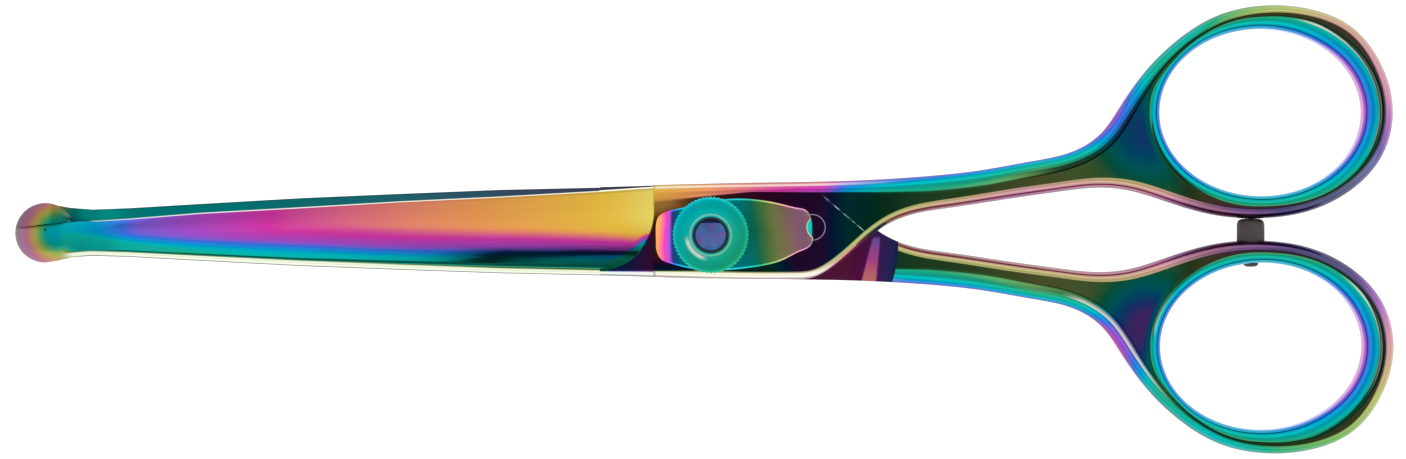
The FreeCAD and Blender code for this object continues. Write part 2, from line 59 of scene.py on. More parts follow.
# Edge of one half from the blade's spine round the ring and back, as x and height over the mirror line.
OUTLINE = [
    (-7.27, 5.96), (5.10, 6.25), (18.05, 6.47), (27.80, 7.02), (34.87, 7.77), (41.50, 8.92),
    (46.90, 10.20), (50.41, 12.43), (53.00, 15.99), (56.88, 21.25), (60.77, 24.85), (65.60, 27.70),
    (71.12, 28.92), (77.00, 28.58), (82.77, 26.21), (86.66, 21.30), (88.16, 15.20), (86.66, 9.30),
    (82.77, 5.05), (77.00, 2.25), (71.12, 1.42), (65.30, 1.80), (58.18, 3.82), (54.00, 5.05),
    (50.20, 5.42), (45.23, 4.95), (38.76, 4.05), (30.99, 2.88), (24.90, 1.68), (22.40, 0.50),
    (18.20, -2.85), (15.20, -5.12), (13.20, -6.02), (10.60, -6.26), (5.10, -6.25), (-1.40, -6.10),
    (-14.30, -5.72),
]
# Wall where the blade's hollow ends at the pivot block.
PLUNGE = [(-14.30, -4.92), (-12.20, -4.55), (-10.35, -3.75), (-9.05, -2.30), (-8.20, -0.90),
          (-7.45, 1.30), (-7.27, 2.60)]


# ---------------------------------------------------------------- curves
class Spline:
    """Smooth curve through points, by chord length, straight at its free ends."""

    def __init__(self, points):
        p = np.asarray(points, float)
        t = np.concatenate([[0.0], np.cumsum(np.linalg.norm(np.diff(p, axis=0), axis=1))])
        n = len(p)
        gap = np.diff(t)
        left = np.zeros((n, n))
        right = np.zeros((n, p.shape[1]))
        left[0, 0] = left[-1, -1] = 1.0
        for i in range(1, n - 1):
            left[i, i - 1] = gap[i - 1]
            left[i, i] = 2 * (gap[i - 1] + gap[i])
            left[i, i + 1] = gap[i]
            right[i] = 6 * ((p[i + 1] - p[i]) / gap[i] - (p[i] - p[i - 1]) / gap[i - 1])
        self.bend = np.linalg.solve(left, right)
        self.t, self.p = t, p

    def at(self, values):
        u = np.clip(np.asarray(values, float), self.t[0], self.t[-1])
        i = np.clip(np.searchsorted(self.t, u, side="right") - 1, 0, len(self.t) - 2)
        h = (self.t[i + 1] - self.t[i])[:, None]
        a = (self.t[i + 1][:, None] - u[:, None]) / h
        b = 1 - a
        return (a * self.p[i] + b * self.p[i + 1]
                + ((a ** 3 - a) * self.bend[i] + (b ** 3 - b) * self.bend[i + 1]) * h * h / 6)

    def sample(self, step):
        count = max(2, int(round(self.t[-1] / step)))
        return self.at(np.linspace(0, self.t[-1], count + 1))


# ---------------------------------------------------------------- meshes
SOFT_ANGLE = 60.0


def new_object(name, verts, faces, smooth_angle=38.0):
    """Mesh object from millimetre vertices."""
    mesh = bpy.data.meshes.new(name)
    mesh.from_pydata([tuple(float(c) * MM for c in v) for v in verts], [], faces)
    mesh.validate()
    mesh.update()
    obj = bpy.data.objects.new(name, mesh)
    bpy.context.scene.collection.objects.link(obj)
    tidy_normals(obj, smooth_angle)
    return obj


def tidy_normals(obj, smooth_angle=38.0, soft_end=None):
    """Outward normals, smooth shading, sharp edges kept where faces meet at an angle.

    Left of soft_end the bends are tighter and stay smooth up to a wider angle."""
    mesh = obj.data
    work = bmesh.new()
    work.from_mesh(mesh)
    bmesh.ops.remove_doubles(work, verts=work.verts, dist=1e-8)
    bmesh.ops.recalc_face_normals(work, faces=work.faces)
    limit = math.radians(smooth_angle)
    for face in work.faces:
        face.smooth = True
    for edge in work.edges:
        soft = soft_end is not None and max(v.co.x for v in edge.verts) < soft_end * MM
        bound = math.radians(SOFT_ANGLE) if soft else limit
        edge.smooth = not (len(edge.link_faces) == 2 and edge.calc_face_angle(0.0) > bound)
    work.to_mesh(mesh)
    work.free()
    mesh.update()


def cut(obj, tool, operation="DIFFERENCE"):
    """Boolean of obj with a tool object, applied; the tool is removed."""
    modifier = obj.modifiers.new("cut", "BOOLEAN")
    modifier.operation = operation
    modifier.solver = "EXACT"
    modifier.object = tool
    bpy.context.view_layer.update()
    depsgraph = bpy.context.evaluated_depsgraph_get()
    result = bpy.data.meshes.new_from_object(obj.evaluated_get(depsgraph))
    obj.modifiers.clear()
    old = obj.data
    obj.data = result
    bpy.data.meshes.remove(old)
    bpy.data.objects.remove(tool, do_unlink=True)
    tidy_normals(obj)


def tube_tool(name, centre, radius, low, high, count=96, axis="Z"):
    """Closed cylinder used as a cutter."""
    verts, faces = [], []
    for z in (low, high):
        for k in range(count):
            a = 2 * math.pi * k / count
            u, v = radius * math.cos(a), radius * math.sin(a)
            if axis == "Z":
                verts.append((centre[0] + u, centre[1] + v, z))
            else:
                verts.append((centre[0] + u, z, centre[1] + v))
    faces.append(list(range(count))[::-1])
    faces.append(list(range(count, 2 * count)))
    for k in range(count):
        j = (k + 1) % count
        faces.append([k, j, count + j, count + k])
    return new_object(name, verts, faces)


def prism_tool(name, points, low, high):
    """Closed prism over a flat polygon, used as a cutter."""
    count = len(points)
    verts = [(x, y, low) for x, y in points] + [(x, y, high) for x, y in points]
    faces = [list(range(count))[::-1], list(range(count, 2 * count))]
    for k in range(count):
        j = (k + 1) % count
        faces.append([k, j, count + j, count + k])
    return new_object(name, verts, faces)


def resample(points, step):
    """Points at an even step along straight runs."""
    p = np.asarray(points, float)
    t = np.concatenate([[0.0], np.cumsum(np.linalg.norm(np.diff(p, axis=0), axis=1))])
    u = np.linspace(0, t[-1], max(2, int(round(t[-1] / step))) + 1)
    return np.stack([np.interp(u, t, p[:, 0]), np.interp(u, t, p[:, 1])], axis=1)


def side_directions(loop):
    """Unit directions of the sides ahead of and behind each corner of a closed loop."""
    ahead = np.roll(loop, -1, axis=0) - loop
    behind = loop - np.roll(loop, 1, axis=0)
    ahead /= np.linalg.norm(ahead, axis=1)[:, None] + 1e-12
    behind /= np.linalg.norm(behind, axis=1)[:, None] + 1e-12
    return ahead, behind


def offset_loop(loop, widths, sign):
    """Each corner moved inwards so that both its sides move by their own width."""
    ahead, behind = side_directions(loop)
    n_ahead = np.stack([-ahead[:, 1], ahead[:, 0]], axis=1) * sign
    n_behind = np.stack([-behind[:, 1], behind[:, 0]], axis=1) * sign
    w_ahead = widths
    w_behind = np.roll(widths, 1)
    out = np.empty_like(loop)
    for i in range(len(loop)):
        a, b = n_ahead[i], n_behind[i]
        det = a[0] * b[1] - a[1] * b[0]
        if abs(det) > 0.2:
            x = (w_ahead[i] * b[1] - w_behind[i] * a[1]) / det
            y = (a[0] * w_behind[i] - b[0] * w_ahead[i]) / det
            out[i] = loop[i] + (x, y)
        else:
            n = a + b
            n /= np.linalg.norm(n)
            out[i] = loop[i] + n * 0.5 * (w_ahead[i] + w_behind[i])
    return out


ROUNDING_SHARE = 0.86


def profile(steps):
    """Rounding from the side wall (0 in, 1 down) to the flat (1 in, 0 down).

    It stops short of the full quarter, so that it meets the flat at a slight angle."""
    last = 0.5 * math.pi * ROUNDING_SHARE
    rows = []
    for k in range(steps + 1):
        a = last * k / steps
        rows.append(((1 - math.cos(a)) / (1 - math.cos(last)), 1 - math.sin(a) / math.sin(last)))
    return rows


def plate(name, rims, drop_height, low, high, steps=16):
    """Flat plate with rounded rims.  rims: (loop, widths, sign), outer first."""
    verts, faces = [], []
    flats = {"top": [], "bottom": []}
    shape = profile(steps)
    rows = [(inset, low + drop * drop_height) for inset, drop in shape[::-1]]
    rows += [(inset, high - drop * drop_height) for inset, drop in shape]
    for loop, widths, sign in rims:
        rings = []
        rim_in = offset_loop(loop, widths + 0.05, sign)
        rings.append((rim_in, np.full(len(loop), low)))
        for inset, z in rows:
            ring = offset_loop(loop, widths * inset, sign) if inset > 1e-9 else loop.copy()
            rings.append((ring, np.full(len(loop), z)))
        rings.append((rim_in, np.full(len(loop), high)))
        base = len(verts)
        count = len(loop)
        for ring, z in rings:
            verts.extend((ring[i][0], ring[i][1], z[i]) for i in range(count))
        for r in range(len(rings) - 1):
            for k in range(count):
                j = (k + 1) % count
                a, b = base + r * count + k, base + r * count + j
                faces.append([a, b, b + count, a + count])
        flats["bottom"].append((base, count))
        flats["top"].append((base + (len(rings) - 1) * count, count))
    for side in ("bottom", "top"):
        points, edges, index = [], [], []
        for base, count in flats[side]:
            first = len(points)
            for k in range(count):
                points.append(Vector((verts[base + k][0], verts[base + k][1])))
                index.append(base + k)
                edges.append((first + k, first + (k + 1) % count))
        result = delaunay_2d_cdt(points, edges, [], 1, 1e-6)
        new_verts, tris, origin = result[0], result[2], result[3]
        lookup = []
        for k, v in enumerate(new_verts):
            if origin[k]:
                lookup.append(index[origin[k][0]])
            else:
                lookup.append(len(verts))
                verts.append((v[0], v[1], low if side == "bottom" else high))
        outer = np.array([points[k] for k in range(flats[side][0][1])])
        holes = []
        at = flats[side][0][1]
        for base, count in flats[side][1:]:
            holes.append(np.array([points[at + k] for k in range(count)]))
            at += count
        for tri in tris:
            centre = sum((new_verts[k] for k in tri), Vector((0, 0))) / len(tri)
            if inside(centre, outer) and not any(inside(centre, hole) for hole in holes):
                faces.append([lookup[k] for k in tri])
    return new_object(name, verts, faces)


def inside(point, polygon):
    """Whether a point lies in a polygon, by counting the sides crossed on a line to one side."""
    x, y = point
    px, py = polygon[:, 0], polygon[:, 1]
    qx, qy = np.roll(px, -1), np.roll(py, -1)
    crosses = (py > y) != (qy > y)
    with np.errstate(divide="ignore", invalid="ignore"):
        at = px + (y - py) * (qx - px) / (qy - py)
    return bool(np.sum(crosses & (x < at)) % 2)


# ---------------------------------------------------------------- one half without its blade
EDGE_DROP = 1.75
# Width of the rounding at each point of the outline.
EDGE_WIDTHS = [
    2.30, 1.22, 1.55, 2.15, 2.20, 2.10, 2.00, 2.00, 1.90, 1.45, 1.12, 1.05,
    1.06, 1.06, 1.10, 1.22, 1.30, 1.28, 1.24, 1.20, 1.20, 1.30, 1.36, 1.36,
    1.30, 1.25, 1.25, 1.20, 1.12, 1.05, 0.98, 0.95, 0.95, 0.95, 0.95, 0.95,
    0.58,
]
# Least width of the rounding towards the finger hole.
HOLE_WIDTH = 0.75


def half_plate(name):
    """Tang, shank and ring of one half, with the rounding as wide as it is at each place."""
    curve = Spline(OUTLINE)
    rim = curve.sample(0.42)
    rim_widths = np.interp(np.linspace(0, curve.t[-1], len(rim)), curve.t, EDGE_WIDTHS)
    wall = Spline(PLUNGE).sample(0.42)
    heel = resample([PLUNGE[-1], (OUTLINE[0][0], OUTLINE[0][1] - EDGE_WIDTHS[0] - 0.15)], 0.3)[1:]
    loop = np.concatenate([rim, wall, heel])
    widths = np.concatenate([rim_widths[:-1], np.full(len(loop) - len(rim) + 1, 0.05)])
    loop = loop + (0.0, AXIS_Y)
    area = 0.5 * np.sum(loop[:, 0] * np.roll(loop[:, 1], -1) - np.roll(loop[:, 0], -1) * loop[:, 1])
    sign = 1.0 if area > 0 else -1.0
    angle = np.linspace(0, 2 * math.pi, 221)[:-1]
    hole = np.stack([RING_CENTRE[0] + RING_AXES[0] * np.cos(angle),
                     AXIS_Y + RING_CENTRE[1] + RING_AXES[1] * np.sin(angle)], axis=1)
    hole_width = np.empty(len(hole))
    for k, point in enumerate(hole):
        gaps = np.linalg.norm(rim + (0.0, AXIS_Y) - point, axis=1)
        near = int(np.argmin(gaps))
        widest = float(np.interp(point[0] - RING_CENTRE[0], [0.0, 7.0], [1.5, 2.3]))
        crest = float(np.interp(point[0] - RING_CENTRE[0], [0.0, 7.0], [0.34, 0.12]))
        hole_width[k] = min(max(gaps[near] - rim_widths[near] - crest, HOLE_WIDTH), widest)
    for _ in range(6):
        hole_width = (np.roll(hole_width, 1) + hole_width + np.roll(hole_width, -1)) / 3.0
    return plate(name, [(loop, widths, sign), (hole, hole_width, -1.0)], EDGE_DROP, 0.0, TOP)


SEAM_A, SEAM_B = (14.26, 5.19), (19.96, 0.27)


def seam_prism(name, gap):
    """Everything on the handle side of the weld seam."""
    ax, ay = SEAM_A
    dx, dy = SEAM_B[0] - ax, SEAM_B[1] - ay
    size = math.hypot(dx, dy)
    dx, dy = dx / size, dy / size
    nx, ny = -dy, dx
    sx, sy = ax + nx * gap, ay + ny * gap
    corners = ((-60, 0), (90, 0), (90, 130), (-60, 130))
    points = [(sx + dx * run + nx * off, sy + dy * run + ny * off) for run, off in corners]
    return prism_tool(name, points, -4, 12)


def duplicate(obj, name):
    """Copy of an object with a mesh of its own."""
    other = obj.copy()
    other.data = obj.data.copy()
    other.name = name
    other.data.name = name
    bpy.context.scene.collection.objects.link(other)
    return other


def flip(obj):
    """Half turn about the mirror line."""
    move = Matrix.Translation(Vector((0, 2 * AXIS_Y * MM, 2 * MIDDLE * MM)))
    turn = move @ Matrix.Rotation(math.pi, 4, "X")
    obj.data.transform(turn)
    obj.data.update()


half = half_plate("half")
cut(half, tube_tool("relief", (0, 0), SHOULDER, -1.0, FLOOR, 160))
front_handle = duplicate(half, "finger_ring_upper")
block = duplicate(half, "pivot_block_upper")
bpy.data.objects.remove(half, do_unlink=True)
cut(front_handle, seam_prism("seam_a", 0.002), "INTERSECT")
cut(block, seam_prism("seam_b", -0.002))
cut(block, tube_tool("bore", (0, 0), BORE_RADIUS, -1, 9))
cut(block, tube_tool("tab_hole", TAB_HOLE, TAB_HOLE_RADIUS, 4.1, 9))

rear = half_plate("rear_half")
cut(rear, tube_tool("relief", (0, 2 * AXIS_Y), SHOULDER, -1.0, FLOOR, 160))
cut(rear, seam_prism("seam_c", 0.012), "INTERSECT")
flip(rear)
rear_handle = duplicate(rear, "finger_ring_lower")
bpy.data.objects.remove(rear, do_unlink=True)
cut(rear_handle, tube_tool("seat", (BUMPER_X, MIDDLE), 1.83, -1.45, 3.0, 64, "Y"))
cut(rear_handle, tube_tool("stem_hole", (BUMPER_X, MIDDLE), 1.0, -6.0, 3.0, 48, "Y"))


# ---------------------------------------------------------------- the cutting blade
def lerp_table(table, x):
    """Every column of the table at x, by straight lines between its rows."""
    xs = [row[0] for row in table]
    return [float(np.interp(x, xs, [row[k] for row in table])) for k in range(1, len(table[0]))]


# x; then half width, cutting edge, ridge, bevel width; then heights of ridge, spine top, spine foot.
STATIONS = [
    (-86.1, 3.88, 1.08, 0.78, 1.00, 3.60, 4.42, 3.68),
    (-84.9, 3.69, 1.20, 0.70, 0.95, 3.56, 4.34, 3.62),
    (-83.0, 3.24, 1.50, 0.58, 0.85, 3.48, 4.16, 3.50),
    (-80.0, 3.00, 1.58, 0.41, 0.75, 3.44, 4.06, 3.45),
    (-75.2, 3.17, 1.87, 0.15, 0.75, 3.52, 4.14, 3.52),
    (-66.1, 3.69, 2.58, -0.36, 0.80, 3.76, 4.39, 3.72),
    (-53.0, 4.40, 3.27, -1.08, 0.86, 4.05, 4.66, 3.95),
    (-40.2, 4.92, 4.00, -1.80, 0.92, 4.36, 4.83, 4.14),
    (-27.3, 5.40, 4.58, -2.50, 0.98, 4.71, 4.97, 4.30),
    (-14.3, 5.72, 5.28, -3.10, 1.00, 4.95, 5.10, 4.42),
    (-6.5, 5.94, 5.80, -3.40, 1.05, 5.02, 5.16, 4.50),
]
# Line on the rounded tip where the two halves meet, as x and height over the mirror line.
TIP_LINE = [(-92.0, 0.30), (-89.5, 0.63), (-86.2, 1.07), (-83.5, 1.33), (-83.3, 1.47), (-82.1, 1.56),
            (-80.0, 1.58)]
BALL_X = -86.1
BALL_R = 3.88
BALL_HALF = 2.5


def facet_points(x):
    """Top of the cutting blade's section from the cutting edge to the foot of the spine."""
    w, edge, ridge, bevel, ridge_z, spine_z, foot_z = lerp_table(STATIONS, x)
    land = (edge, FLOOR + 0.01)
    start = (edge - 0.16, FLOOR + 0.13)
    face = Spline([start, (edge - 0.5 * (edge - ridge), start[1] + 0.56 * (ridge_z - start[1])),
                   (ridge, ridge_z), (-w + bevel, spine_z)]).sample(0.01)
    face = resample(face, np.linalg.norm(np.diff(face, axis=0), axis=1).sum() / 26.0)
    top = np.array(face[-1])
    end = np.array([-w, foot_z - 0.35])
    corner = np.array([-w, foot_z + 0.15]) * 0.65 + np.array([-w + 0.35, spine_z]) * 0.35
    bend = []
    for k in range(1, 11):
        t = k / 10.0
        bend.append((1 - t) ** 2 * top + 2 * t * (1 - t) * corner + t * t * end)
    return np.array([land] + [tuple(p) for p in face] + [tuple(p) for p in bend])


def ball_points(x, count):
    """Top of the rounded tip's section, leaning gently down towards the seam."""
    reach = math.sqrt(max(BALL_R ** 2 - (x - BALL_X) ** 2, 1e-4)) if x < BALL_X else None
    half = reach if reach is not None else min(lerp_table(STATIONS, x)[0], BALL_R)
    seam = min(float(np.interp(x, [p[0] for p in TIP_LINE], [p[1] for p in TIP_LINE])), half)
    ahead = min(x - BALL_X, 0.0) / BALL_R
    points = []
    for t in np.linspace(0.0, 1.0, count):
        y = seam + (-half - seam) * math.sin(0.5 * math.pi * t)
        across = y / (half if reach is None else BALL_R)
        far = min(1.0, ahead * ahead + across * across)
        lean = 1.0 - 0.26 * min(max((y + 2.4) / 3.6, 0.0), 1.0)
        points.append((y, MIDDLE + BALL_HALF * (1 - far ** 1.2) ** (1 / 2.4) * lean))
    return np.array(points)


def blade_section(x):
    """Cross-section loop of the cutting blade and its round tip at one station, as (y, z)."""
    if x > -79.5:
        top = facet_points(x)
    else:
        top = ball_points(x, 38)
        if x > -85.5:
            share = (x + 85.5) / 6.0
            share = share * share * (3 - 2 * share)
            top = top * (1 - share) + facet_points(x) * share
    first, last = top[0][0], top[-1][0]
    under = []
    for t in np.linspace(0.0, 1.0, 14):
        y = last + (first - last) * math.sin(0.5 * math.pi * t) ** 2
        if x > -83.3:
            z = FLOOR + 0.006 * min(max(x + 14.2, 0.0), 1.0)
        else:
            ahead = min(x - BALL_X, 0.0)
            far = min(1.0, (ahead * ahead + y * y) / BALL_R ** 2)
            z = MIDDLE - BALL_HALF * (1 - far ** 1.2) ** (1 / 2.4) * 0.98
        under.append((y, z))
    return [(AXIS_Y + y, z) for y, z in list(top) + under]


def bridge(name, stations, rows, smooth_angle):
    """Closed body through a (y, z) loop at each station, with flat ends."""
    count = len(rows[0])
    verts = [(x, y, z) for x, row in zip(stations, rows) for y, z in row]
    faces = [list(range(count)), list(range(len(verts) - count, len(verts)))[::-1]]
    for r in range(len(rows) - 1):
        for k in range(count):
            j = (k + 1) % count
            faces.append([r * count + k, r * count + j, (r + 1) * count + j, (r + 1) * count + k])
    return new_object(name, verts, faces, smooth_angle)


tip_angles = np.linspace(0.06, 0.5 * math.pi, 26)
tip_stations = BALL_X - BALL_R * np.cos(tip_angles)
neck_stations = [-85.7, -85.2, -84.7, -84.1, -83.7, -83.31, -83.29, -83.0]
blade_stations = np.concatenate([tip_stations, neck_stations, np.linspace(-82.6, -75.2, 20),
                                 np.linspace(-74.8, -6.5, 110)])
blade = bridge("cutting_blade", blade_stations, [blade_section(x) for x in blade_stations], 30.0)
cut(blade, block, "UNION")
tidy_normals(blade, soft_end=-14.4)

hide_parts("front_blade")
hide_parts("front_handle")
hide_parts("rear_handle")
for piece, body in ((blade, "upper_half"), (front_handle, "upper_half"), (rear_handle, "lower_half")):
    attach(piece, body)


# ---------------------------------------------------------------- small hardware
def lathe(name, rows, count, wobble=None):
    """Closed turned body about Z through (radius, height) rows.

    wobble(radius, angle) is added to the radius."""
    verts, faces = [], []
    for k in range(count):
        a = 2 * math.pi * k / count
        for r, z in rows:
            r = r + (wobble(r, a) if wobble else 0.0)
            verts.append((r * math.cos(a), r * math.sin(a), z))
    n = len(rows)
    for k in range(count):
        j = (k + 1) % count
        for i in range(n):
            m = (i + 1) % n
            faces.append([k * n + i, j * n + i, j * n + m, k * n + m])
    return new_object(name, verts, faces, 30.0)


def knurl(radius, angle):
    """Grooves round the rim of the nut."""
    return -0.13 * max(0.0, min(1.0, (radius - 4.5) / 0.2)) * (0.5 - 0.5 * math.cos(60 * angle)) ** 0.7


nut_rows = [(2.12, 6.62), (4.66, 6.62), (4.84, 6.70), (4.92, 6.88), (4.92, 7.40), (4.92, 8.02),
            (4.88, 8.16), (4.78, 8.28), (4.62, 8.345), (4.40, 8.375), (4.0, 8.41), (3.5, 8.46),
            (3.05, 8.53), (2.86, 8.585), (2.76, 8.60), (2.64, 8.58), (2.46, 8.49), (2.34, 8.36),
            (2.30, 8.05), (2.80, 8.05), (2.80, 7.40), (2.12, 7.40)]
nut = lathe("tension_dial", nut_rows, 480, knurl)
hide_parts("tension_nut")
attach(nut, "nut")

bumper_rows = [(0.02, -4.32), (0.50, -4.29), (0.82, -4.18), (0.98, -3.98), (1.02, -3.70), (0.98, -3.45),
               (0.98, -1.45), (1.55, -1.45), (1.69, -1.41), (1.76, -1.31), (1.78, -1.15), (1.78, 0.70),
               (1.77, 1.10), (1.73, 1.38), (1.62, 1.62), (1.42, 1.79), (1.10, 1.89), (0.60, 1.93),
               (0.02, 1.93)]
bumper = lathe("ring_bumper", bumper_rows, 96)
bumper_place = Matrix.Translation(Vector((BUMPER_X * MM, 0, MIDDLE * MM)))
bumper.data.transform(bumper_place @ Matrix.Rotation(-math.pi / 2, 4, "X"))
tidy_normals(bumper)
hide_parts("rubber_bumper")
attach(bumper, "lower_half")

# Sides of the spring as (x, y), then its underside along its length as (x, z).
SPRING_UPPER = [(-7.10, 0.40), (-7.02, 1.42), (-6.72, 2.38), (-6.10, 2.86), (-3.95, 3.47), (-0.50, 4.25),
                (2.70, 4.66), (5.84, 4.56), (8.74, 4.08), (11.40, 3.47), (12.25, 3.23), (12.85, 2.38),
                (13.14, 1.18), (13.24, 0.40)]
SPRING_LOWER = [(-7.10, 0.40), (-7.08, -0.75), (-6.72, -2.69), (-6.30, -3.20), (-5.50, -3.55), (-1.89, -4.38),
                (2.94, -4.42), (6.33, -4.01), (9.46, -3.17), (11.40, -2.20), (12.90, -1.36), (13.20, -0.40),
                (13.24, 0.40)]
SPRING_BOW = [(-7.12, 5.42), (-6.30, 5.62), (-5.40, 5.87), (-4.95, 5.955), (-4.40, 5.99), (-2.50, 6.05),
              (0.0, 6.08), (4.90, 6.02), (7.50, 5.88), (10.50, 5.64), (12.60, 5.43), (13.30, 5.36)]
SPRING_ENDS = (-7.095, 13.235)
SPRING_THICKNESS = 0.5


def spring_plate(name):
    """Bowed plate cut across into strips, with rounded edges and a tab folded down at one end."""
    upper = Spline(SPRING_UPPER).sample(0.05)
    lower = Spline(SPRING_LOWER).sample(0.05)
    upper = upper[np.argsort(upper[:, 0])]
    lower = lower[np.argsort(lower[:, 0])]
    bow = Spline(SPRING_BOW).sample(0.05)
    stations = np.concatenate([np.linspace(SPRING_ENDS[0], -6.6, 10), np.linspace(-6.5, -3.0, 36),
                               np.linspace(-2.7, 11.7, 49), np.linspace(11.8, SPRING_ENDS[1], 22)])
    rows = []
    for x in stations:
        low = float(np.interp(x, lower[:, 0], lower[:, 1]))
        high = float(np.interp(x, upper[:, 0], upper[:, 1]))
        z = float(np.interp(x, bow[:, 0], bow[:, 1]))
        radius = min(0.20, 0.45 * (high - low))
        top, under = [], []
        for t in np.linspace(0.0, 1.0, 61):
            y = low + (high - low) * (0.5 - 0.5 * math.cos(math.pi * t))
            edge = min(y - low, high - y, x - SPRING_ENDS[0], SPRING_ENDS[1] - x)
            inset = max(0.0, 1.0 - edge / radius)
            drop = 0.24 * (1 - math.sqrt(max(0.0, 1 - inset * inset)))
            crown = 0.010 * (y * y)
            fold_start = 13.15 - 0.80 * max(0.0, 1 - ((y - TAB_HOLE[1]) / 1.35) ** 2)
            fold = 0.75 * max(0.0, x - fold_start)
            top.append((y, z + SPRING_THICKNESS - drop - crown - fold))
            under.append((y, z + drop * 0.8 - crown - fold))
        rows.append(top + under[::-1])
    return bridge(name, stations, rows, 40.0)


spring = spring_plate("tension_spring")
cut(spring, tube_tool("spring_hole", (0, 0), BORE_RADIUS, 4, 8))
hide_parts("leaf_spring")
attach(spring, "upper_half")


# ---------------------------------------------------------------- numbers that vary over a surface
class Field:
    """A number that varies over the surface, held as a node socket."""

    def __init__(self, tree, socket):
        self.tree, self.socket = tree, socket

    def _plug(self, node, slot, value):
        if isinstance(value, Field):
            self.tree.links.new(value.socket, node.inputs[slot])
        else:
            node.inputs[slot].default_value = float(value)

    def math(self, operation, *others, clamp=False):
        node = self.tree.nodes.new("ShaderNodeMath")
        node.operation = operation
        node.use_clamp = clamp
        for slot, value in enumerate((self,) + others):
            self._plug(node, slot, value)
        return Field(self.tree, node.outputs[0])

    def __add__(self, other):
        return self.math("ADD", other)

    __radd__ = __add__

    def __sub__(self, other):
        return self.math("SUBTRACT", other)

    def __rsub__(self, other):
        return (self * -1.0) + other

    def __mul__(self, other):
        return self.math("MULTIPLY", other)

    __rmul__ = __mul__

    def __truediv__(self, other):
        return self.math("DIVIDE", other)

    def step(self, low, high, first=0.0, last=1.0, kind="SMOOTHSTEP"):
        """Goes smoothly from first to last as the number goes from low to high."""
        node = self.tree.nodes.new("ShaderNodeMapRange")
        node.interpolation_type = kind
        self._plug(node, 0, self)
        for slot, value in ((1, low), (2, high), (3, first), (4, last)):
            self._plug(node, slot, value)
        return Field(self.tree, node.outputs[0])


def table(field, pairs):
    """Straight-line table of up to 32 (place, value) pairs, values from 0 to 2."""
    low, high = pairs[0][0], pairs[-1][0]
    ramp = field.tree.nodes.new("ShaderNodeValToRGB")
    elements = ramp.color_ramp.elements
    while len(elements) > 1:
        elements.remove(elements[-1])
    for index, (place, value) in enumerate(pairs):
        at = (place - low) / (high - low)
        if index == 0:
            elements[0].position = at
            element = elements[0]
        else:
            element = elements.new(at)
        element.color = (value / 2.0, value / 2.0, value / 2.0, 1.0)
    scaled = (field - low) / (high - low)
    field.tree.links.new(scaled.socket, ramp.inputs[0])
    return Field(field.tree, ramp.outputs[0]) * 2.0


def mix(first, last, amount):
    """First where the amount is 0, last where it is 1."""
    return first + (last - first) * amount


def distance(across, up):
    return (across * across + up * up).math("SQRT")


def degrees(up, across):
    """Angle of a direction, counted from the first axis."""
    return up.math("ARCTAN2", across) * (180.0 / math.pi)


# Tints laid over the colour: the pale one for painted highlights and pale marks, the dark one for painted
# shade.
PALE_TINT = (0.80, 0.84, 0.72, 1.0)
PAINTED_SHADE_TINT = (0.004, 0.004, 0.006, 1.0)


